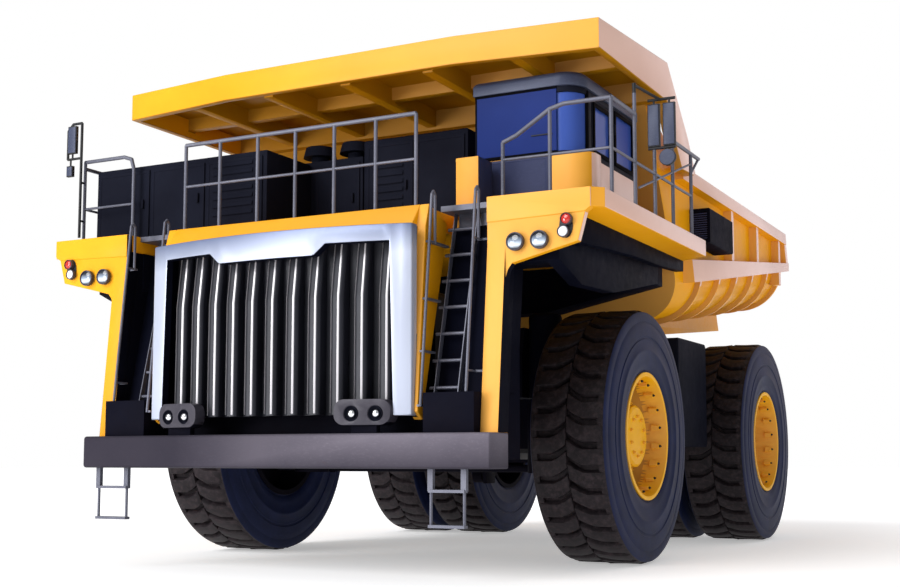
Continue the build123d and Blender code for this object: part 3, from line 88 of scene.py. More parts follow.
# %% Camera
camera_place = (8.1128, station(-14.8428), 1.2527)
camera_turn = 0.4798            # radians to the left of the truck's own axis
camera_rise = 0.09665
focal_pixels = 1280.83
picture_width = 900
sensor_width = 36
centre_row = 293.5
optical_row = 335.0

bpy.ops.object.camera_add(location=camera_place)
camera = bpy.context.object
camera.name = "camera"
camera.rotation_euler = (pi / 2 + camera_rise, 0, camera_turn)
camera.data.sensor_width = sensor_width
camera.data.lens = focal_pixels / picture_width * sensor_width
camera.data.shift_y = (optical_row - centre_row) / picture_width
bpy.context.scene.camera = camera
print("lens", round(camera.data.lens, 2), "mm")

# %% [markdown]
# Surround and finishes are small networks of nodes. One function adds a node with its settings and
# links, and another turns a colour as painters write it, in hex, to the linear one that light needs.

# %% Helpers for nodes


def linear(hex_code):
    """An sRGB hex colour as linear numbers."""
    channels = [int(hex_code[at:at + 2], 16) / 255 for at in (1, 3, 5)]
    return tuple(c / 12.92 if c <= 0.04045 else ((c + 0.055) / 1.055) ** 2.4 for c in channels) + (1.0,)


def add_node(tree, kind, output, settings=None):
    """Add a node, set or link what is named, and give one of its outputs. A hex colour is made linear."""
    made = tree.nodes.new("ShaderNode" + kind)
    for name, value in (settings or {}).items():
        if isinstance(value, bpy.types.NodeSocket):
            tree.links.new(value, made.inputs[name])
        elif name == "stops":
            steps = made.color_ramp.elements
            while len(steps) < len(value):
                steps.new(0.5)
            for step, (place, tone) in zip(steps, value):
                step.position = place
                step.color = linear(tone) if isinstance(tone, str) else (tone, tone, tone, 1.0)
        elif isinstance(name, int) or name in made.inputs:
            made.inputs[name].default_value = linear(value) if isinstance(value, str) else value
        else:
            setattr(made, name, value)
    return made.outputs[output]


# %% [markdown]
# The picture is a studio cut-out: a white surround, a broad sun-like lamp, one large soft lamp ahead
# of the truck, and another far back on its left whose light grazes the side plates. Their pale pink sheen is
# also painted into their colour.
# The surround is white where it is looked at and dimmer as a light, so that the blacks stay deep.

# %% Light, air and floor
scene = bpy.context.scene
scene.view_settings.view_transform = "Standard"
scene.view_settings.look = "None"
room = bpy.data.worlds.new("studio")
scene.world = room
room.use_nodes = True
room_light = room.node_tree.nodes["Background"]
room_light.inputs["Color"].default_value = linear("#FFFFFF")
seen = add_node(room.node_tree, "LightPath", "Is Camera Ray")
white = add_node(room.node_tree, "MapRange", "Result", {"Value": seen, "To Min": 0.42, "To Max": 1.0})
room.node_tree.links.new(white, room_light.inputs["Strength"])


def studio_lamp(kind, name, place, target, power, **settings):
    """A lamp of a kind, turned from its place towards a target."""
    bpy.ops.object.light_add(type=kind, location=place)
    lamp = bpy.context.object
    lamp.name = name
    lamp.data.energy = power
    for setting, value in settings.items():
        setattr(lamp.data, setting, value)
    lamp.rotation_mode = "QUATERNION"
    lamp.rotation_quaternion = (Vector(target) - Vector(place)).to_track_quat("-Z", "Y")


studio_lamp("SUN", "broad_light", (-6, -16, 13), (0, 0, 2.8), 2.1, angle=radians(35))
studio_lamp("AREA", "front_light", (-8, -20, 3.2), (0, -5, 2.6), 1500, size=6.5)
studio_lamp("AREA", "grazing_light", (10.5, 26, 11.5), (3.2, 0, 4.5), 560, size=15,
            color=(1.0, 0.84, 0.90))

bpy.ops.mesh.primitive_circle_add(vertices=96, radius=160, fill_type="NGON", location=(0, 0, 0))
floor = bpy.context.object
floor.name = "studio_floor"

# %% [markdown]
# Two patterns serve nearly every finish: spots of a given size, and a fade along one axis.

# %% Helpers for finishes


def new_finish(name, **sockets):
    """A material with some sockets of its Principled shader set, and its tree."""
    finish = bpy.data.materials.new(name)
    finish.use_nodes = True
    shader = finish.node_tree.nodes["Principled BSDF"]
    for socket, value in sockets.items():
        value = linear(value) if isinstance(value, str) else value
        shader.inputs[socket.replace("_", " ")].default_value = value
    return finish, finish.node_tree


def spots(tree, size, detail=3.0, roughness=0.55, stretch=(1, 1, 1), stops=None):
    """Blotches about that size in metres, in the object's own place, as a factor or in the stops' tones."""
    place = add_node(tree, "TexCoord", "Object")
    scaled = add_node(tree, "Mapping", "Vector", {"Vector": place, "Scale": stretch})
    noise = add_node(tree, "TexNoise", "Fac",
                     {"Vector": scaled, "Scale": 1 / size, "Detail": detail, "Roughness": roughness})
    return noise if stops is None else add_node(tree, "ValToRGB", "Color", {"Fac": noise, "stops": stops})


def fade(tree, axis, start, end, low=0.0, high=1.0, read="Object"):
    """A factor that goes from low to high while one coordinate goes from start to end."""
    place = add_node(tree, "TexCoord", read)
    along = add_node(tree, "SeparateXYZ", axis, {"Vector": place})
    return add_node(tree, "MapRange", "Result",
                    {"Value": along, "From Min": start, "From Max": end, "To Min": low, "To Max": high})


def dusted(tree, paint, dust_and_shade_film, colour, top, bottom, amount):
    """Road dust on a paint, thicker from a height down to another, where a pattern of spots holds it."""
    low = fade(tree, "Z", top, bottom, 0.0, amount)
    dust = add_node(tree, "Math", 0, {"operation": "MULTIPLY", "use_clamp": True, 0: low, 1: dust_and_shade_film})
    return add_node(tree, "Mix", 2, {"data_type": "RGBA", 0: dust, 6: paint, 7: colour})


def dress(finish, colour=None, roughness=None, height=None, depth=0.0, strength=0.0):
    """Link colour and roughness, each a socket or a (factor, stops) pair, and a bump of a depth in metres."""
    tree = finish.node_tree
    bump = None
    if height is not None:
        bump = add_node(tree, "Bump", "Normal", {"Strength": strength, "Distance": depth, "Height": height})
    for socket, source in (("Base Color", colour), ("Roughness", roughness), ("Normal", bump)):
        if isinstance(source, tuple):
            source = add_node(tree, "ValToRGB", "Color", {"Fac": source[0], "stops": source[1]})
        if source is not None:
            tree.links.new(source, tree.nodes["Principled BSDF"].inputs[socket])
    return finish


# %% [markdown]
# The yellow is a two-pack polyurethane enamel, sprayed over steel plate. It is even, with slight
# orange peel. Sun has taken its gloss, a painted highlight pales the faces turned to the front, and road dust
# dulls it low on the machine.

# %% Yellow polyurethane enamel


def yellow_enamel(name="yellow_polyurethane_enamel", deep="#E2980C", pale="#EFA816", coat=0.03):
    finish, tree = new_finish(name, Specular_IOR_Level=0.05, Coat_Weight=coat, Coat_Roughness=0.25)
    paint = spots(tree, 1.4, 4, stops=((0.3, deep), (0.75, pale)))
    # painted highlight: faces turned to the front are drawn paler, more so towards the truck's left
    front = fade(tree, "Y", -0.3, -1.0, read="Normal")
    across = fade(tree, "X", -1.5, 2.5, 0.1, 0.55)
    front_highlight = add_node(tree, "Math", 0, {"operation": "MULTIPLY", 0: front, 1: across})
    highlighted = add_node(tree, "Mix", 2, {"data_type": "RGBA", 0: front_highlight, 6: paint, 7: "#E8AF68"})
    streaks = spots(tree, 0.09, 5, 0.7)
    dusty = dusted(tree, highlighted, streaks, "#B9976A", 2.6, 0.3, 0.14)
    # orange peel, 8 mm wide, drawn at 12 mm so that it shows
    return dress(finish, dusty, (streaks, ((0.3, 0.28), (0.8, 0.42))), spots(tree, 0.012, 2), 0.0004, 0.25)


# %% [markdown]
# Frame, cabinets and axles wear a blue-black enamel. It is darker and duller than the yellow,
# and dust shows on it as a brown-grey film.

# %% Blue-black satin enamel


def dark_enamel(name="blue_black_satin_enamel", deep="#090A14", pale="#10121F", dust=0.12, shine=0.01):
    finish, tree = new_finish(name, Specular_IOR_Level=shine)
    paint = spots(tree, 0.9, 4, stops=((0.3, deep), (0.75, pale)))
    dust_and_shade_film = spots(tree, 0.12, 6, 0.7)
    dusty = dusted(tree, paint, dust_and_shade_film, "#5B4A3C", 2.4, 0.2, dust)
    # orange peel again, drawn at 20 mm on these large dark plates
    return dress(finish, dusty, (dust_and_shade_film, ((0.3, 0.42), (0.8, 0.62))), spots(tree, 0.02, 3), 0.0006, 0.3)


# %% [markdown]
# The bumper, the headlamp pods and the ladders are gunmetal, a grey enamel with fine metal flake,
# scuffed where boots and tools touch it.

# %% Gunmetal enamel


def gunmetal_enamel(name, base, scuffed, metallic=0.25, shade_top=0.0, shine=0.3):
    finish, tree = new_finish(name, Metallic=metallic, Specular_IOR_Level=shine)
    scuffs = spots(tree, 0.05, 6, 0.75, (1, 1, 2.5), ((0.52, 0), (0.72, 1)))
    tint = spots(tree, 0.8, 3, stops=((0.3, base), (0.8, scuffed)))
    painted = add_node(tree, "Mix", 2, {"data_type": "RGBA", 0: scuffs, 6: tint, 7: scuffed})
    if shade_top:
        # painted shade: darker from that height down to the lower edge, 0.35 m below,
        # and from the middle of the truck towards its right
        down = fade(tree, "Z", shade_top, shade_top - 0.35, 0.0, 0.75)
        across = fade(tree, "X", 1.5, -1.2, 0.0, 0.85)
        dust_and_shade_film = add_node(tree, "Math", 0, {"operation": "MAXIMUM", 0: down, 1: across})
        painted = add_node(tree, "Mix", 2, {"data_type": "RGBA", 0: dust_and_shade_film, 6: painted, 7: "#1C1A25"})
    # the flake's fine grain, drawn at 8 mm so that it shows
    return dress(finish, painted, (scuffs, ((0.0, 0.4), (1.0, 0.55))), spots(tree, 0.008, 2), 0.0004, 0.3)


# %% [markdown]
# The grille's surround is pressed steel with a satin nickel plate, and the hoist rods are hard chrome.
# Plate mirrors the room, so almost all of its look is its roughness, with faint smears in it.

# %% Plated and ground steel


def plated_steel(name, tone, smooth, smeared, metallic=1.0, shaded_from=0.0):
    finish, tree = new_finish(name, Base_Color=tone, Metallic=metallic)
    colour = None
    if shaded_from:
        # painted shade: the plate is drawn bluer and darker from that height upwards, over 0.3 m
        rise = fade(tree, "Z", shaded_from, shaded_from + 0.3)
        colour = add_node(tree, "Mix", 2, {"data_type": "RGBA", 0: rise, 6: tone, 7: "#66718F"})
    smears = spots(tree, 0.18, 5, 0.6, (1, 1, 3), ((0.35, smooth), (0.8, smeared)))
    return dress(finish, colour, smears, spots(tree, 0.5, 2), 0.002, 0.08)


# %% [markdown]
# Tyre rubber is carbon-black compound. The tread is scuffed dry and brown with dust, while the
# sidewalls keep a blue bloom from wax in the rubber. Each part of the tyre has its own finish.

# %% Tyre rubber


def tyre_rubber(name, deep, pale, grain, dust_colour, dust_amount):
    finish, tree = new_finish(name, Specular_IOR_Level=0.12)
    tone = spots(tree, 0.35, 5, 0.6, stops=((0.3, deep), (0.75, pale)))
    dust = spots(tree, 0.06, 6, 0.7, stops=((0.45, 0), (0.8, dust_amount)))
    dusty = add_node(tree, "Mix", 2, {"data_type": "RGBA", 0: dust, 6: tone, 7: dust_colour})
    return dress(finish, dusty, (dust, ((0.0, 0.55), (1.0, 0.85))), spots(tree, grain, 5, 0.7), 0.003, 0.35)


# %% [markdown]
# Cab windows are laminated safety glass with a deep blue solar tint, so the seat shows only faintly.
# Lamp lenses are clear polycarbonate over a bowl. Seen from below, the bowl would mirror pale ground
# in its lower half and dark plate in its upper half; these bands are painted across the lens as painted
# reflection.

# %% Glass and lenses
marker_height = 3.460
marker_radius = 0.095


def tinted_glass(name, colour, through):
    finish, tree = new_finish(name, Base_Color=colour, Transmission_Weight=through, IOR=1.45,
                              Coat_Weight=0.4, Coat_Roughness=0.02)
    return dress(finish, roughness=spots(tree, 0.25, 4, stops=((0.3, 0.03), (0.9, 0.13))))


def solar_glass(name, deep, pale, through):
    finish, tree = new_finish(name, Transmission_Weight=through, IOR=1.45, Specular_IOR_Level=0.06,
                              Roughness=0.2)
    return dress(finish, spots(tree, 0.8, 2, stops=((0.3, deep), (0.8, pale))))


def lens_with_painted_reflection():
    finish, tree = new_finish("clear_lamp_lens", Roughness=0.12, Coat_Weight=0.4, Coat_Roughness=0.03)
    rise = fade(tree, "Z", marker_height - marker_radius, marker_height + marker_radius)
    # painted reflection: bands of pale ground and dark plate, and a painted highlight, drawn up the lens
    bands = ((0.12, "#3A3E48"), (0.3, "#DDE8F5"), (0.5, "#8A97AA"), (0.75, "#20242E"))
    return dress(finish, (rise, bands))


# %% [markdown]
# Small parts: iron castings are matt and pitted, the seat has a coarse woven cloth,
# and mouldings in the cab are a grained black plastic. Walkways have raised dots.

# %% Castings, cloth, plastic, walkway and floor


def raw_casting():
    finish, tree = new_finish("sand_cast_iron", Metallic=0.5)
    # pits 6 mm wide, drawn coarser than sand leaves them so that they show
    pits = spots(tree, 0.006, 4, 0.7)
    return dress(finish, (pits, ((0.3, "#1B1A1D"), (0.8, "#3A383A"))), (pits, ((0.3, 0.5), (0.8, 0.75))),
                 pits, 0.0015, 0.5)


def woven_cloth():
    finish, tree = new_finish("woven_seat_cloth", Sheen_Weight=0.3, Roughness=0.9)
    place = add_node(tree, "TexCoord", "Object")
    # a wave of scale 40 repeats every 8 mm, coarser than the real thread of 1 mm so that it shows
    threads = [add_node(tree, "TexWave", "Fac", {"Scale": 40, "bands_direction": way, "Vector": place})
               for way in ("X", "Z")]
    weave = add_node(tree, "Math", 0, {"operation": "MAXIMUM", 0: threads[0], 1: threads[1]})
    return dress(finish, (weave, ((0.1, "#0D0D10"), (0.9, "#26262C"))), None, weave, 0.002, 0.5)


def grained_plastic():
    finish, tree = new_finish("grained_black_plastic", Specular_IOR_Level=0.4)
    # moulded grain, drawn at 4 mm
    grain = spots(tree, 0.004, 3)
    tone = spots(tree, 0.3, 3, stops=((0.3, "#101114"), (0.8, "#1D1F24")))
    return dress(finish, tone, (grain, ((0.3, 0.5), (0.8, 0.7))), grain, 0.0006, 0.5)


def grip_plate():
    finish, tree = new_finish("non_slip_deck_plate", Specular_IOR_Level=0.3, Roughness=0.7)
    place = add_node(tree, "TexCoord", "Object")
    # 36 raised dots in a metre, so 28 mm apart
    dots = add_node(tree, "TexVoronoi", "Distance", {"Scale": 36.0, "Randomness": 0.0, "Vector": place})
    raised = add_node(tree, "ValToRGB", "Color", {"Fac": dots, "stops": ((0.18, 1), (0.32, 0))})
    colour = add_node(tree, "Mix", 2, {"data_type": "RGBA", 0: raised, 6: "#17181C", 7: "#3C3D42"})
    return dress(finish, colour, None, raised, 0.002, 0.6)


def pale_floor():
    finish, tree = new_finish("matt_studio_floor", Roughness=0.9, Specular_IOR_Level=0.1,
                              Emission_Color="#FFFFFF")
    # the far floor glows up to the white of the surround, as a studio sweep does
    place = add_node(tree, "TexCoord", "Object")
    away = add_node(tree, "VectorMath", "Value", {"operation": "LENGTH", 0: place})
    glow = add_node(tree, "MapRange", "Result",
                    {"Value": away, "From Min": 7.0, "From Max": 18.0, "To Min": 0.38, "To Max": 0.6})
    tree.links.new(glow, tree.nodes["Principled BSDF"].inputs["Emission Strength"])
    return dress(finish, spots(tree, 3.0, 3, stops=((0.3, "#F4F4F5"), (0.8, "#F8F8F9"))))


# %% Make each finish once
yellow = yellow_enamel()
# painted light: a brighter copy of the yellow for rims, nuts and clamps, to make up for the shade inside the
# tyres
brightened_wheel_yellow = yellow_enamel("wheel_yellow_enamel", "#F0AE08", "#F8BA10", 0.05)
# painted shade: a darker yellow for faces under the canopy, on the tub's front wall and in the wheels' dishes
shaded_yellow = yellow_enamel("soot_dulled_yellow_enamel", "#A46F0A", "#B47B0C", 0.0)
# painted sheen: a pale pink yellow stands in for the grazing lamp's reflection on faces turned to it
pink_sheen_yellow = yellow_enamel("sun_faded_yellow_enamel", "#DDB3A2", "#E4BDAD", 0.7)
dark = dark_enamel()
cabinet = dark_enamel("cabinet_black_enamel", "#12131C", "#1B1D28", 0.05)
blackout = dark_enamel("cab_blackout_enamel", "#12141E", "#1A1C28", 0.0, 0.05)
# painted shade on the bumper: darker towards its lower edge and its right
gunmetal = gunmetal_enamel("gunmetal_bumper_enamel", "#66616C", "#76707B", 0.0, 1.50, 0.02)
rail_grey = gunmetal_enamel("grey_handrail_enamel", "#50525F", "#6C6D7A")
roof_grey = gunmetal_enamel("slate_roof_enamel", "#343A50", "#4A5168", 0.1)
grille_bright = plated_steel("satin_nickelled_steel", "#B9C0D3", 0.34, 0.40, 0.35, 3.40)
slat_black = gunmetal_enamel("black_slat_enamel", "#15161D", "#23242D", 0.2)
hard_chrome = plated_steel("hard_chromed_rod", "#C9CBCF", 0.12, 0.25)
ground_steel = plated_steel("ground_steel", "#8C8D91", 0.3, 0.5)
iron = raw_casting()
cloth = woven_cloth()
plastic = grained_plastic()
tread_rubber = tyre_rubber("tread_rubber", "#171417", "#262124", 0.02, "#54474B", 0.45)
wall_rubber = tyre_rubber("sidewall_rubber", "#121934", "#1B2346", 0.03, "#2C335A", 0.25)
blue_glass = solar_glass("blue_solar_cab_glass", "#3B55A8", "#4660AE", 0.15)
screen_glass = solar_glass("bonded_screen_glass", "#112563", "#182D70", 0.0)
# painted reflection: the windscreen's curved corner is drawn lighter and greyer than its flat part
corner_reflection_glass = solar_glass("bonded_corner_glass", "#22315E", "#2C3C70", 0.0)
lens_glass = lens_with_painted_reflection()
clear_lens = tinted_glass("clear_running_lamp", "#F4F6FA", 0.1)
red_lens = tinted_glass("red_lamp_lens", "#E5382F", 0.4)
mirror_glass = plated_steel("silvered_mirror_glass", "#B9BEC8", 0.03, 0.06)
# painted highlight: a bright plate for the strips on the slats' corners
highlight_strip_metal = plated_steel("brushed_slat_strip", "#BFBCC1", 0.36, 0.45, 0.4)
bulb_glass = plated_steel("bright_bulb_glass", "#EEF0F4", 0.06, 0.1)
rubber_seal = dark_enamel("black_rubber_seal", "#07070A", "#0E0E12", 0.0)
slate = gunmetal_enamel("slate_blue_enamel", "#2B3150", "#373E5E", 0.0, 0.0, 0.1)
pod_grey = gunmetal_enamel("lamp_pod_enamel", "#34323B", "#44414B", 0.1)
worn_steel = plated_steel("worn_bed_steel", "#6E6A68", 0.35, 0.65, 0.8)
floor.data.materials.append(pale_floor())
print("finishes made:", len(bpy.data.materials))

# %% [markdown]
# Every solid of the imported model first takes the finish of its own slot.

# %% Finish of each solid
finish_of_slot = {
    "yellow_paint": yellow, "dark_paint": dark, "bumper_paint": gunmetal, "rail_paint": rail_grey,
    "bright_trim": grille_bright, "slat_black": slat_black, "cast_iron": iron, "brushed_steel": ground_steel,
    "chromed_rod": hard_chrome, "lamp_lens": lens_glass, "tinted_glass": blue_glass,
    "seat_fabric": cloth, "black_plastic": plastic, "tyre_rubber": wall_rubber,
}
slot_of = {part["node"]: part["material_slot"] for part in frame["record"]["subparts"]}
body_of = {name: body for body, names in frame["record"]["behaviour"]["bodies"].items() for name in names}
for name, thing in nodes.items():
    thing.data.materials.clear()
    thing.data.materials.append(finish_of_slot[slot_of[name]])
for name in ("deck_cabinets", "fuel_tank", "hydraulic_tank", "air_intakes"):
    nodes[name].data.materials[0] = cabinet
nodes["cab_roof"].data.materials[0] = roof_grey
nodes["headlamp_pods"].data.materials[0] = pod_grey
print("solids finished:", len(nodes))

# %% [markdown]
# Sheet metal is folded and welded, so none of its edges is sharp, and a rounded edge catches a line
# of light that a sharp one can't. A solid's mesh is loose triangles, so a copy is merged, its flat
# triangles are joined to whole faces, and then a bevel rounds every edge that turns sharply.

# %% Rounded copies of the solids


def choose(thing):
    """Make one object the active and only selected one."""
    for other in list(bpy.context.selected_objects):
        other.select_set(False)
    thing.select_set(True)
    bpy.context.view_layer.objects.active = thing


def settle(thing):
    """Put a thing's place, turn and scale into its mesh."""
    choose(thing)
    bpy.ops.object.transform_apply(location=True, rotation=True, scale=True)


def smooth(thing, degrees):
    choose(thing)
    bpy.ops.object.shade_smooth_by_angle(angle=radians(degrees))


def edit(thing, everything=False):
    """Open a mesh for editing, with all of it selected if that is asked."""
    choose(thing)
    bpy.ops.object.mode_set(mode="EDIT")
    if everything:
        bpy.ops.mesh.select_all(action="SELECT")


def finish_edit():
    bpy.ops.object.mode_set(mode="OBJECT")


def soften(thing, width, segments=2, sharp=30, leeway=5):
    """Round the edges that turn by more than an angle, and shade the piece."""
    bevel = thing.modifiers.new("edges", "BEVEL")
    bevel.width = width
    bevel.segments = segments
    bevel.limit_method = "ANGLE"
    bevel.angle_limit = radians(sharp)
    choose(thing)
    bpy.ops.object.modifier_apply(modifier=bevel.name)
    smooth(thing, sharp + leeway)


def put_on(thing, name, body, finish):
    """Name a finished piece, give it its finish, and let it ride on its body."""
    settle(thing)
    thing.name = name
    if finish is not None:
        thing.data.materials.clear()
        thing.data.materials.append(finish)
    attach(thing, body)
    return thing


def rounded(node, width):
    """A merged copy of a solid, its edges rounded to that width, in its place."""
    piece = bpy.data.objects.new(node + "_rounded", nodes[node].data.copy())
    scene.collection.objects.link(piece)
    edit(piece, everything=True)
    bpy.ops.mesh.remove_doubles(threshold=0.0002)
    bpy.ops.mesh.dissolve_limited(angle_limit=radians(1))
    finish_edit()
    soften(piece, width, sharp=28, leeway=0)
    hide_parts(node)
    return put_on(piece, node + "_rounded", body_of[node], None)


edge_widths = {
    0.002: "front_rim_left front_rim_right",
    0.004: "rear_rims_left rear_rims_right",
    0.006: "mirrors",
    0.008: "cab_door",
    0.010: "chassis_frame radiator dashboard",
    0.012: "dump_canopy dump_body fenders decks hood cab_shell deck_skirts",
    0.014: "grille_frame",
    0.015: "deck_cabinets rear_axle_housing",
    0.018: "front_bumper",
    0.020: "fuel_tank hydraulic_tank cab_roof headlamp_pods engine_block driveline",
    0.030: "operator_seat",
}
rounded_pieces = {node: rounded(node, width)
                  for width, group in edge_widths.items() for node in group.split()}
print("rounded:", len(rounded_pieces))

# %% [markdown]
# Some plates carry two colours. The legs are black on their flanks and the cab is blacked out above its belt.
# The rest is painted light: shade painted darker into the wheels, under the canopy, round the grille and
# under the lamp pods, and a pink sheen painted onto plates turned to the grazing lamp. A face is picked by
# where it lies and how it is turned.

# %% Second colours, painted shade and painted sheen, by face
belt_height = 4.672
cab_outside = 2.9
outer_sides = {"dump_body": 3.05, "dump_canopy": 3.2, "fenders": 3.4, "decks": 3.4}
leg_outside = 3.0               # a leg's black flanks are inside this and below its lamp panel
leg_top = 3.76
hood_inside = 1.69              # the hood's mouth behind the grille
hood_mouth = 3.70
canopy_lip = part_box("dump_canopy")[0].y + 0.08
rib_ends = 3.1                  # the canopy's ribs, long ones first
rib_top = 5.97
cross_rib_top = 5.93
first_cross_rib = canopy_lip + 0.5
tub_front = 0.5                 # the tub's front wall
tub_side = 3.0
grille_brow = 3.2
step_box = 1.55                 # the yellow box at the left end of the cabinets
pod_middle = 1.635


def paint_faces(piece, finish, wanted):
    """Give one more finish to the faces of a piece that pass a test."""
    piece.data.materials.append(finish)
    for face in piece.data.polygons:
        if wanted(face.center, face.normal):
            face.material_index = len(piece.data.materials) - 1


def paint_rounded(node, finish, wanted):
    paint_faces(rounded_pieces[node], finish, wanted)


for node in ("cab_shell", "cab_door"):
    edit(rounded_pieces[node], everything=True)
    bpy.ops.mesh.bisect(plane_co=(0, 0, belt_height), plane_no=(0, 0, 1))
    finish_edit()
    paint_rounded(node, blackout, lambda centre, normal: centre.z > belt_height)
    # painted sheen: the cab's lower side plates turned to the grazing lamp
    paint_rounded(node, pink_sheen_yellow, lambda centre, normal: normal.x > 0.9 and
                  centre.z < belt_height and centre.x > cab_outside)
# painted sheen: outer plates turned to the grazing lamp take the pink yellow
for node, outer_x in outer_sides.items():
    paint_rounded(node, pink_sheen_yellow, lambda centre, normal: normal.x > 0.9 and centre.x > outer_x)
paint_rounded("fenders", dark, lambda centre, normal: abs(normal.x) > 0.7 and
              centre.z < leg_top and abs(centre.x) < leg_outside)
# painted shade: the hood's mouth behind the grille is drawn dark
paint_rounded("hood", dark, lambda centre, normal: abs(centre.x) < hood_inside and centre.z < hood_mouth)
# painted shade: the canopy's underside and the faces between its ribs
paint_rounded("dump_canopy", shaded_yellow, lambda centre, normal: normal.z < -0.2 or
              (normal.y > -0.5 and centre.z < rib_top and
               centre.y > canopy_lip and abs(centre.x) < rib_ends) or
              (normal.y < -0.5 and centre.z < cross_rib_top and centre.y > first_cross_rib))
# painted shade: the tub's front wall under the canopy
paint_rounded("dump_body", shaded_yellow, lambda centre, normal: normal.y < -0.3 and
              centre.y < tub_front and abs(centre.x) < tub_side)
# painted shade: the frame's faces under its brow and those turned in towards the opening are drawn dark
paint_rounded("grille_frame", dark, lambda centre, normal: (normal.z < -0.4 and centre.z > grille_brow) or
              (abs(normal.x) > 0.7 and normal.x * centre.x < 0))
paint_rounded("deck_cabinets", yellow, lambda centre, normal: centre.x > step_box and normal.x < 0.5)
paint_rounded("deck_cabinets", slate, lambda centre, normal: centre.x > step_box and normal.x >= 0.5)
# painted shade: the pods are drawn dark below their middle, with the stalk under them
paint_rounded("headlamp_pods", dark, lambda centre, normal: centre.z < pod_middle)

dish_depths = {"front_rim_": 0.45, "rear_rims_": 0.60}
shaded_trough = 0.22
sides = ((1, "left"), (-1, "right"))
for side, word in sides:
    for node, depth in dish_depths.items():
        rounded_pieces[node + word].data.materials[0] = brightened_wheel_yellow
        low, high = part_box(node + word)
        dish = max(side * low.x, side * high.x) - depth
        # painted shade: each rim is drawn darker yellow near its dish and black inside it
        paint_rounded(node + word, shaded_yellow, lambda centre, normal: normal.x * side < 0.98 and
                      centre.x * side < dish + shaded_trough)
        paint_rounded(node + word, dark, lambda centre, normal: normal.x * side < -0.2 or
                      centre.x * side < dish)
print("finishes on the canopy:", len(rounded_pieces["dump_canopy"].data.materials))

# %% [markdown]
# Shaping by code follows the same steps as by hand: put in a primitive, pick faces by where they
# lie, then inset, extrude, move or spin them. These small helpers do the picking.

# %% Helpers for shaping
along_x = (0, pi / 2, 0)        # turns that lay a cylinder along an axis
along_y = (pi / 2, 0, 0)


def pick_faces(thing, wanted):
    """In edit mode, select just the faces whose centre and normal pass a test."""
    bpy.ops.mesh.select_mode(type="FACE")
    bpy.ops.mesh.select_all(action="DESELECT")
    finish_edit()
    for face in thing.data.polygons:
        face.select = wanted(face.center, face.normal)
    bpy.ops.object.mode_set(mode="EDIT")


def pick_side(thing, axis, side):
    """In edit mode, select just the faces turned that way along an axis."""
    pick_faces(thing, lambda centre, normal: getattr(normal, axis) * side > 0.9)


def push(way):
    """Extrude what is selected and move it."""
    bpy.ops.mesh.extrude_region_move(TRANSFORM_OT_translate={"value": way})


def inset_in_steps(steps, scale=1.0, each=False):
    """Inset what is selected again and again, from (inset, outward step) pairs."""
    for inward, step in steps:
        bpy.ops.mesh.inset(thickness=inward * scale, depth=step, use_individual=each)


def box_between(low, high):
    """A cube primitive between two corners, scaled in its mesh."""
    bpy.ops.mesh.primitive_cube_add(size=1, location=[(a + b) / 2 for a, b in zip(low, high)])
    thing = bpy.context.object
    thing.scale = [abs(b - a) for a, b in zip(low, high)]
    settle(thing)
    return thing


def shaped_box(low, high, axis, side, shape, edges, segments=1, sharp=30):
    """A box with one of its sides picked and shaped, and then its edges rounded."""
    thing = box_between(low, high)
    edit(thing)
    pick_side(thing, axis, side)
    shape()
    finish_edit()
    soften(thing, edges, segments, sharp)
    return thing


def cylinder(centre, radius, depth, vertices, turn):
    bpy.ops.mesh.primitive_cylinder_add(vertices=vertices, radius=radius, depth=depth,
                                        location=centre, rotation=turn)
    thing = bpy.context.object
    settle(thing)
    return thing


def join(things):
    """Join meshes into the first of them."""
    choose(things[0])
    for thing in things:
        thing.select_set(True)
    bpy.ops.object.join()
    return things[0]


def copy_of(thing, move=(0, 0, 0)):
    """A copy with its own mesh, moved."""
    twin = thing.copy()
    twin.data = thing.data.copy()
    scene.collection.objects.link(twin)
    twin.location = [a + b for a, b in zip(twin.location, move)]
    settle(twin)
    return twin


def spin_copies(thing, count, centre):
    """Repeat a mesh evenly round an axle, as copies in the same mesh."""
    edit(thing, everything=True)
    bpy.ops.mesh.spin(steps=count - 1, dupli=True, angle=2 * pi * (count - 1) / count,
                      center=centre, axis=(1, 0, 0))
    finish_edit()


# %% [markdown]
# A mining tyre of this size has two rows of deep rock lugs. Each lug starts square at the shoulder and
# bends towards the middle, and the two rows are half a pitch apart. The casing is a cylinder whose end
# faces are inset again and again, each inset a step of the sidewall down to the bead. One lug is a cube
# with its ends extruded, and a spin repeats it round the wheel.

# %% Tyres: casing, lugs and their copies
tread_root = 1.448
crown_half = 0.40
sidewall_steps = (              # inset, outward step
    (0.05, 0.048), (0.09, 0.018), (0.10, 0.004), (0.010, -0.010), (0.020, 0.000),
    (0.010, 0.010), (0.11, -0.003), (0.010, 0.007), (0.030, 0.000), (0.010, -0.007),
    (0.12, -0.006), (0.082, -0.014), (0.020, -0.0224), (0.046, 0.0),
)
shoulder_radius = 1.500
shoulder_width = 0.07
shoulder_steps = ((0.012, 0.010), (0.055, 0.008))
tread_start = 1.44
tread_half = 0.430
lug_count = 36
lug_low = (0.19, -0.104, 1.41)
lug_high = (0.37, 0.104, 1.520)
lug_bends = ((-0.09, 0.045, 0.0), (-0.095, 0.075, 0.0))
lug_shoulder = (0.065, 0.0, -0.03)
lug_taper = 0.86
wheel_middle = (0, 0, 0)

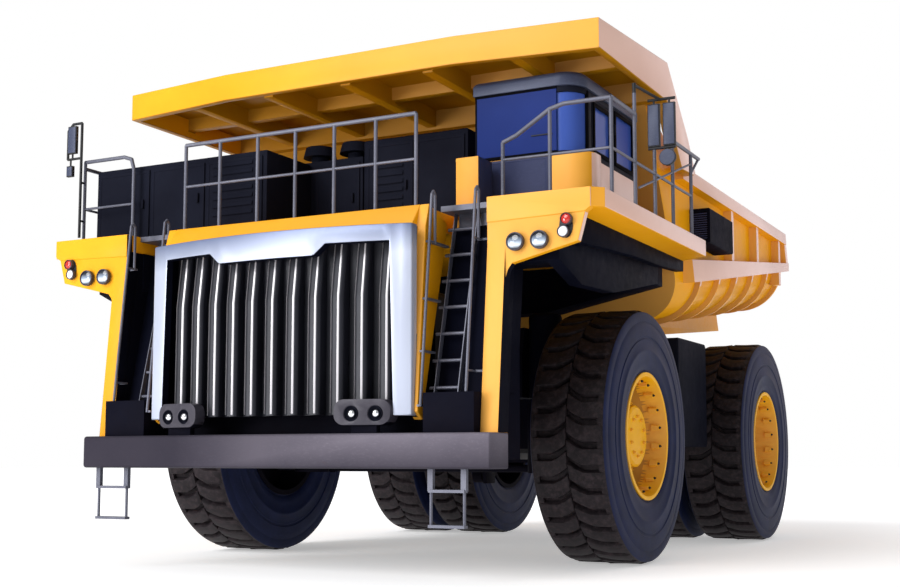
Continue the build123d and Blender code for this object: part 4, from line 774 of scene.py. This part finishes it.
casing = cylinder(wheel_middle, tread_root, 2 * crown_half, 120, along_x)
edit(casing)
pick_faces(casing, lambda centre, normal: abs(normal.x) > 0.9)
inset_in_steps(sidewall_steps, each=True)
bpy.ops.mesh.bridge_edge_loops()
finish_edit()
shoulders = []
for side in (1, -1):
    ring = cylinder((side * crown_half, 0, 0), shoulder_radius, shoulder_width, 120, along_x)
    edit(ring)
    pick_side(ring, "x", side)
    inset_in_steps(shoulder_steps)
    pick_faces(ring, lambda centre, normal: abs(normal.x) > 0.99 and centre.yz.length < 0.1)
    bpy.ops.mesh.inset(thickness=0.05, use_individual=True)
    bpy.ops.mesh.bridge_edge_loops()
    finish_edit()
    shoulders.append(ring)
casing = join([casing] + shoulders)
casing.data.materials.append(wall_rubber)
paint_faces(casing, tread_rubber, lambda centre, normal: centre.yz.length > tread_start and
            abs(centre.x) < tread_half)
smooth(casing, 40)

lug = box_between(lug_low, lug_high)
edit(lug)
pick_side(lug, "x", -1)
for bend in lug_bends:
    push(bend)
pick_side(lug, "x", 1)
push(lug_shoulder)
pick_side(lug, "z", 1)
bpy.ops.transform.resize(value=(1, lug_taper, 1))
finish_edit()
soften(lug, 0.008, 2, 25)
lug.data.materials.append(wall_rubber)
paint_faces(lug, tread_rubber, lambda centre, normal: normal.x <= 0.7)
other_lug = copy_of(lug)
edit(other_lug, everything=True)
bpy.ops.transform.resize(value=(-1, 1, 1), center_override=wheel_middle)
bpy.ops.transform.rotate(value=pi / lug_count, orient_axis="X", center_override=wheel_middle)
bpy.ops.mesh.normals_make_consistent(inside=False)
finish_edit()
for row in (lug, other_lug):
    spin_copies(row, lug_count, wheel_middle)
tyre = join([casing, lug, other_lug])
print("one tyre has", len(tyre.data.polygons), "faces")

for node in [name for name in nodes if "_tyre_" in name]:
    low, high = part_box(node)
    piece = copy_of(tyre, (low + high) / 2)
    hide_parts(node)
    put_on(piece, node + "_lugged", body_of[node], None)
bpy.data.objects.remove(tyre)

# %% [markdown]
# Wheel nuts are hexagons on a ring of studs. One nut is a six-sided cylinder with its outer rim
# rounded and a stud standing out of it, and a spin makes the ring.

# %% Wheel nuts and hub details
axles = {                       # body, x of the hub's face, y
    "front": ("front_wheel_", 2.634, front_axle_y),
    "rear": ("rear_wheels_", 2.772, station(wheelbase)),
}
wheel_nuts = (                  # name, axle, how far out from the hub's face, ring radius, count, width
    ("front_rim_nuts_", "front", 0.06, 0.53, 24, 0.05),
    ("front_hub_nuts_", "front", 0.15, 0.44, 16, 0.045),
    ("front_cap_nuts_", "front", 0.308, 0.24, 10, 0.04),
    ("rear_hub_nuts_", "rear", -0.06, 0.40, 20, 0.05),
    ("rear_cap_nuts_", "rear", 0.118, 0.17, 10, 0.035),
)
rim_clamps = (                  # name, axle, how far out from the hub's face, ring radius
    ("front_rim_", "front", 0.37, 0.665),
    ("rear_rim_", "rear", 0.36, 0.675),
)
clamp_count = 18
clamp_depth = 0.10
clamp_half_width = 0.040
clamp_half_height = 0.030
clamp_nut = 0.034
nut_height = 0.7                # these four are parts of a nut's width
nut_middle = 0.3
nut_rim = 0.2
stud_length = 0.3


def nut_ring(name, body, centre, side, ring, count, across, finish):
    """A ring of nuts round an axle, facing out to one side."""
    x, y, z = centre
    nut = cylinder((x + side * across * nut_middle, y, z + ring), across / 2, across * nut_height, 6,
                   along_x)
    edit(nut)
    pick_side(nut, "x", side)
    bpy.ops.mesh.inset(thickness=across * nut_rim)
    push((side * across * stud_length, 0, 0))
    finish_edit()
    soften(nut, across * 0.05, 1)
    spin_copies(nut, count, centre)
    put_on(nut, name, body, finish)


def clamp_ring(name, body, centre, side, ring):
    """Wedge clamps that hold a rim, round the inside of its flange, each with a nut."""
    x, y, z = centre
    low_x, high_x = sorted((x - side * clamp_depth, x))
    clamp = shaped_box((low_x, y - clamp_half_width, z + ring - clamp_half_height),
                       (high_x, y + clamp_half_width, z + ring + clamp_half_height),
                       "x", side, lambda: bpy.ops.transform.resize(value=(1, 0.7, 0.7)), 0.004)
    spin_copies(clamp, clamp_count, centre)
    put_on(clamp, name + "_clamps", body, brightened_wheel_yellow)
    nut_ring(name + "_clamp_nuts", body, (x - side * 0.004, y, z), side, ring, clamp_count, clamp_nut,
             iron)


for side, word in sides:
    for name, axle, out, ring, count, across in wheel_nuts:
        body, hub_x, y = axles[axle]
        nut_ring(name + word, body + word, (side * (hub_x + out), y, tyre_radius), side, ring, count, across,
                 brightened_wheel_yellow)
    for name, axle, out, ring in rim_clamps:
        body, hub_x, y = axles[axle]
        clamp_ring(name + word, body + word, (side * (hub_x + out), y, tyre_radius), side, ring)
print("rings of nuts and clamps on each side:", len(wheel_nuts) + len(rim_clamps))

# %% [markdown]
# A lamp is a short drum facing forward. Its front is inset to leave a rim, pushed back to make a
# reveal, and inset again in steps that bulge the lens. Headlamps sit deep in a dark bowl instead,
# with a bright glass ball at its middle.

# %% Headlamps and marker lamps
marker_back = station(-3.075)
marker_depth = 0.045
backing_depth = 0.012
marker_lamps = (                # x, height, radius, lens
    (2.748, marker_height, marker_radius, lens_glass),
    (3.016, marker_height, marker_radius, lens_glass),
    (3.312, 3.646, 0.062, red_lens),
    (3.279, 3.522, 0.062, clear_lens),
)
marker_rim = ((0.13, 0.004), (0.03, -0.012))                    # parts of the radius, metres forward
lens_steps = ((0.16, 0.008), (0.2, 0.005), (0.25, 0.003))
lens_edge = 0.84
headlamps = (1.090, 1.350)
headlamp_height = 1.722
headlamp_front = station(-3.43)
bowl_radius = 0.080
bowl_depth = 0.066
bowl_steps = ((0.005, 0.0), (0.006, -0.022), (0.014, -0.018), (0.02, -0.008))
ball_radius = 0.045
ball_place = 0.022              # behind the bowl's rim
ball_flatness = 0.8
backing_middle = (3.296, station(-3.0604), 3.585)
backing_radius = 0.072
backing_stretch = 1.75


def drum(x, back, z, radius, depth, vertices=48):
    """A cylinder whose front end faces forward along -Y."""
    return cylinder((x, back - depth / 2, z), radius, depth, vertices, along_y)


def marker_lamp(x, z, radius, lens):
    lamp = drum(x, marker_back, z, radius, marker_depth)
    edit(lamp)
    pick_side(lamp, "y", -1)
    inset_in_steps(marker_rim + lens_steps, radius)
    finish_edit()
    lamp.data.materials.append(pod_grey)
    paint_faces(lamp, lens, lambda centre, normal: normal.y < -0.5 and
                sqrt((centre.x - x) ** 2 + (centre.z - z) ** 2) < radius * lens_edge)
    smooth(lamp, 35)
    return lamp


def head_lamp(x, face, z):
    bowl = drum(x, face + bowl_depth + 0.002, z, bowl_radius, bowl_depth)
    edit(bowl)
    pick_side(bowl, "y", -1)
    inset_in_steps(bowl_steps)
    finish_edit()
    bowl.data.materials.append(cabinet)
    smooth(bowl, 50)
    middle = (x, face + ball_place, z)
    bpy.ops.mesh.primitive_uv_sphere_add(segments=32, ring_count=16, radius=ball_radius, location=middle)
    ball = bpy.context.object
    settle(ball)
    edit(ball, everything=True)
    bpy.ops.transform.resize(value=(1, ball_flatness, 1), center_override=middle)
    finish_edit()
    ball.data.materials.append(bulb_glass)
    smooth(ball, 60)
    return join([bowl, ball])


units = []
backing = []
for side in (1, -1):
    for x, z, radius, lens in marker_lamps:
        units.append(marker_lamp(side * x, z, radius, lens))
    for x in headlamps:
        units.append(head_lamp(side * x, headlamp_front - bow_sag(x), headlamp_height))
    x, y, z = backing_middle
    plate = drum(side * x, y, z, backing_radius, backing_depth)
    edit(plate, everything=True)
    bpy.ops.transform.resize(value=(1, 1, backing_stretch), center_override=(side * x, 0, z))
    finish_edit()
    backing.append(plate)
all_lamps = join(units)
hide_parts("lamps")
put_on(all_lamps, "lamp_units", "chassis", None)
put_on(join(backing), "marker_backing", "chassis", plastic)
print("lamps:", len(units))

# %% [markdown]
# The grille's slats are black. Bright strips at both of each slat's front corners are painted highlights, the
# light on its rounded edges. A strip is a box whose top is extruded upwards along the slat's lean.

# %% Polished strips on the slats
slat_count = 11
slat_pitch = 0.270
slat_foot = 1.735
slat_kink = 2.980
slat_head = 3.575
slat_lean = 0.075
slat_front = station(-3.240)
# painted highlight: the strip on the truck's left side of each slat is the wider one
strip_edges = ((1, 0.014, 0.052), (-1, 0.060, 0.070))           # side of a slat, and how far off its middle
strip_proud = 0.008
strip_depth = 0.030
strip_chamfer = 0.014
strips = []
for index in range(slat_count):
    middle = (index - (slat_count - 1) / 2) * slat_pitch
    front = slat_front - bow_sag(middle)
    for side, near, far in strip_edges:
        strip = box_between((middle + side * near, front - strip_proud, slat_foot),
                            (middle + side * far, front + strip_depth, slat_kink))
        edit(strip)
        pick_side(strip, "z", 1)
        push((0, slat_lean, slat_head - slat_kink))
        pick_side(strip, "x", side)
        bpy.ops.transform.translate(value=(0, strip_chamfer, 0))
        finish_edit()
        soften(strip, 0.005, 2, 25)
        strips.append(strip)
put_on(join(strips), "slat_strips", "chassis", highlight_strip_metal)
print("strips:", len(strips))

# %% [markdown]
# The cab's side windows sit in black rubber. Each seal is a flat box opened by an inset. The windscreen is
# bonded on: a thin box whose end face is spun round the cab's corner, with a band of rubber along its sill
# and head, a pillar where each end stops, and a wiper.

# %% Window seals, windscreen, pillars and wiper
cab_front = station(-1.780)
cab_side = 2.930
cab_inner_side = 1.640
screen_left = 1.650
sill = 4.700
head = 5.370
window_low = 4.760
door_window_top = 5.304
corner_round = 0.260
corner_x = cab_side - corner_round
corner_y = cab_front + corner_round
seal_lap = 0.03
seal_width = 0.05
seal_proud = 0.014


def seal_on_side(name, body, low_y, high_y, high_z, x, side):
    """A rubber frame on a wall that faces along X."""
    seal = box_between((x, low_y - seal_lap, window_low - seal_lap),
                       (x + side * seal_proud, high_y + seal_lap, high_z + seal_lap))
    edit(seal)
    pick_faces(seal, lambda centre, normal: abs(normal.x) > 0.9)
    bpy.ops.mesh.inset(thickness=seal_width, use_individual=True)
    bpy.ops.mesh.bridge_edge_loops()
    finish_edit()
    soften(seal, 0.004, 2)
    put_on(seal, name, body, rubber_seal)


def wrapped_band(name, low, high, end, steps, finish, edges, segments):
    """A band across the cab's front, spun round its corner and pushed back along its side."""
    band = box_between(low, high)
    edit(band)
    pick_side(band, "x", 1)
    bpy.ops.mesh.spin(steps=steps, dupli=False, angle=pi / 2, center=(corner_x, corner_y, 0), axis=(0, 0, 1))
    push((0, end - corner_y, 0))
    finish_edit()
    edit(band, everything=True)
    bpy.ops.mesh.remove_doubles(threshold=0.0001)
    bpy.ops.mesh.normals_make_consistent(inside=False)
    finish_edit()
    soften(band, edges, segments, 40)
    return put_on(band, name, "chassis", finish)


seal_on_side("side_window_seal", "chassis", station(-0.610), station(0.020), head, cab_side, 1)
seal_on_side("inner_window_seal", "chassis", station(-1.580), station(-0.150), head, cab_inner_side, -1)
seal_on_side("door_window_seal", "cab_door", station(-1.308), station(-0.766), door_window_top, cab_side, 1)
band_heights = (("sill_seal", sill - 0.034, sill + 0.004), ("head_seal", head + 0.040, head + 0.07))
for name, low_z, high_z in band_heights:
    wrapped_band(name, (screen_left, cab_front - 0.016, low_z), (corner_x, cab_front + 0.020, high_z),
                 station(-1.500), 10, rubber_seal, 0.005, 2)
screen = wrapped_band("bonded_windscreen", (screen_left + 0.015, cab_front - 0.010, sill - 0.010),
                      (corner_x, cab_front - 0.002, head + 0.050), station(-1.510), 16,
                      screen_glass, 0.002, 1)
# painted reflection: the part spun round the corner takes the lighter glass
paint_faces(screen, corner_reflection_glass, lambda centre, normal: centre.x > corner_x + 0.004)
trim_boxes = (                  # name, corners, rounding, segments, finish
    ("screen_pillar_left", (screen_left, cab_front - 0.014, sill),
     (screen_left + 0.025, cab_front + 0.03, head + 0.05), 0.006, 2, rubber_seal),
    ("screen_pillar_rear", (cab_side - 0.03, station(-1.530), sill),
     (cab_side + 0.014, station(-1.490), head + 0.05), 0.006, 2, rubber_seal),
    ("wiper", (2.36, cab_front - 0.024, sill + 0.190),
     (2.62, cab_front - 0.010, sill + 0.205), 0.003, 1, plastic),
)
for name, low, high, edges, segments, finish in trim_boxes:
    trim = box_between(low, high)
    soften(trim, edges, segments)
    put_on(trim, name, "chassis", finish)
print("windscreen faces:", len(screen.data.polygons))

# %% [markdown]
# The cabinets on the deck have folded doors. A door is a thin box with its face inset and pushed in,
# which leaves a folded rim, and a small handle is joined to it. Louvred doors carry a row of hoods.

# %% Cabinet doors and the slate panel under the windscreen
door_foot = 4.03
cabinet_face = station(-2.440)
intake_face = station(-1.480)
door_panels = (                 # x limits, top, y of the face, louvred
    (-3.45, -2.62, 4.90, cabinet_face, False),
    (-2.58, -1.75, 4.90, cabinet_face, False),
    (-1.71, -0.88, 4.90, cabinet_face, True),
    (-0.76, -0.10, 4.94, intake_face, False),
    (0.00, 0.66, 5.12, intake_face, True),
    (0.70, 1.36, 5.12, intake_face, False),
)
louvre_count = 7
louvre_pitch = 0.10
louvre_start = 0.18
louvre_height = 0.055
louvre_lip = 0.016
panel_low = (1.70, cab_front - 0.014, deck_top + 0.01)
panel_high = (2.565, cab_front - 0.001, sill - 0.045)


def folded_panel(low, high, rim, sunk, edges):
    """A thin box that faces forward, its face pushed in to leave a folded rim."""
    return shaped_box(low, high, "y", -1, lambda: inset_in_steps(((rim, 0.0), (0.006, -sunk))), edges, 2)


doors = []
for x0, x1, top, face, louvred in door_panels:
    doors.append(folded_panel((x0, face - 0.018, door_foot), (x1, face - 0.001, top), 0.035, 0.008, 0.004))
    grip = (door_foot + top) / 2
    handle = box_between((x1 - 0.11, face - 0.040, grip - 0.06), (x1 - 0.08, face - 0.012, grip + 0.06))
    soften(handle, 0.006, 2)
    doors.append(handle)
    for row in range(louvre_count if louvred else 0):
        z = door_foot + louvre_start + row * louvre_pitch
        doors.append(shaped_box((x0 + 0.09, face - 0.014, z),
                                (x1 - 0.14, face - 0.010, z + louvre_height), "z", -1,
                                lambda: bpy.ops.transform.translate(value=(0, -louvre_lip, 0)), 0.002))
put_on(join(doors), "cabinet_doors", "chassis", cabinet)
front_panel = folded_panel(panel_low, panel_high, 0.03, 0.005, 0.005)
put_on(front_panel, "cab_front_panel", "chassis", slate)
print("doors, handles and louvres:", len(doors))

# %% [markdown]
# A splash plate closes the gap between each leg and the frame behind it. It leans back with the leg.

# %% Splash plates beside the ladders
leg_inside = 2.412
plate_thickness = 0.016
leg_front = station(-3.05)
leg_back = station(-2.35)
leg_foot = 1.95
leg_head = 3.74
leg_lean = 0.22
splash_plates = []
for side in (1, -1):
    low_x, high_x = sorted((side * leg_inside, side * (leg_inside + plate_thickness)))
    splash_plates.append(shaped_box((low_x, leg_front, leg_foot), (high_x, leg_back, leg_head), "z", 1,
                                    lambda: bpy.ops.transform.translate(value=(0, leg_lean, 0)), 0.003))
put_on(join(splash_plates), "splash_plates", "chassis", dark)

# %% [markdown]
# Mirrors show their pale backs to the front and their glass to the driver.

# %% Mirror backs and glass
door_mirror_y = station(-1.160)
far_mirror_y = station(-2.640)
mirror_half = 0.020             # half the depth of a housing
mirror_rim = 0.006
mirror_plates = (               # x limits, z limits, y of the housing's middle
    (3.532, 3.668, 4.775, 5.255, door_mirror_y),
    (3.712, 3.848, 4.775, 5.255, door_mirror_y),
    (-3.818, -3.682, 5.195, 5.545, far_mirror_y),
    (-3.828, -3.732, 4.895, 5.025, far_mirror_y),
)
round_mirror = (3.755, 4.635)
round_mirror_radius = 0.088
round_mirror_depth = 0.010
backs = []
glasses = []
for group, side, proud in ((backs, -1, 0.004), (glasses, 1, 0.008)):
    for x0, x1, z0, z1, y in mirror_plates:
        group.append(shaped_box((x0 + mirror_rim, y + side * mirror_half, z0 + mirror_rim),
                                (x1 - mirror_rim, y + side * (mirror_half + 0.006), z1 - mirror_rim),
                                "y", side, lambda: inset_in_steps(((0.008, 0.003),)), 0.002, 2))
    disc = drum(round_mirror[0], door_mirror_y + side * mirror_half + proud, round_mirror[1],
                round_mirror_radius, round_mirror_depth, 40)
    smooth(disc, 40)
    group.append(disc)
put_on(join(backs), "mirror_backs", "chassis", roof_grey)
put_on(join(glasses), "mirror_faces", "chassis", mirror_glass)
print("mirrors:", len(backs))

# %% [markdown]
# Walkways are covered with non-slip plate, and the inside of the tub is scoured to bare steel.
# The cooler on the tub's side has a grille of flat bars.

# %% Deck plates, scoured tub and the cooler's grille
walkways = (                    # x limits, y limits: ahead of the cab, and along its side
    (2.45, 3.58, station(-2.90), station(-2.50)),
    (3.02, 3.58, station(-2.46), station(0.52)),
)
plates = []
for side in (1, -1):
    for inner, outer, front, back in walkways:
        low_x, high_x = sorted((side * inner, side * outer))
        plates.append(shaped_box((low_x, front, deck_top), (high_x, back, deck_top + 0.008), "z", 1,
                                 lambda: inset_in_steps(((0.02, 0.002),)), 0.003))
put_on(join(plates), "deck_plates", "chassis", grip_plate())

floor_slope = 0.1432            # of the load floor, up towards the tail
tail_floor = 3.930
tail_y = station(7.400)
tub_axis = 5.6                  # height that the curved walls turn round, nearly
wall_inside = 2.938
load_front = station(0.2)


def scoured(centre, normal):
    """Whether a face of the tub is one that the load rubs on."""
    floor_here = tail_floor - (tail_y - centre.y) * floor_slope
    to_axis = Vector((-centre.x, 0, tub_axis - centre.z)).normalized()
    facing_in = normal.dot(to_axis) > 0.35 or normal.y > 0.6
    above_floor = centre.z > floor_here + 0.05 and centre.y > load_front
    return facing_in and above_floor and abs(centre.x) < wall_inside


paint_rounded("dump_body", worn_steel, scoured)

box_low, box_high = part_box("body_side_box")
bar_count = 12
bar_pitch = 0.031
bar_height = 0.014
first_bar = 0.062
bar_inset = 0.045
bars = []
for row in range(bar_count):
    z = box_low.z + first_bar + row * bar_pitch
    bars.append(box_between((box_low.x + bar_inset, box_low.y + 0.006, z),
                            (box_high.x - bar_inset, box_low.y + 0.020, z + bar_height)))
cooler = join(bars)
soften(cooler, 0.003, 1)
put_on(cooler, "cooler_grille", "dump_body", slate)
print("walkway plates:", len(plates), "cooler bars:", bar_count)
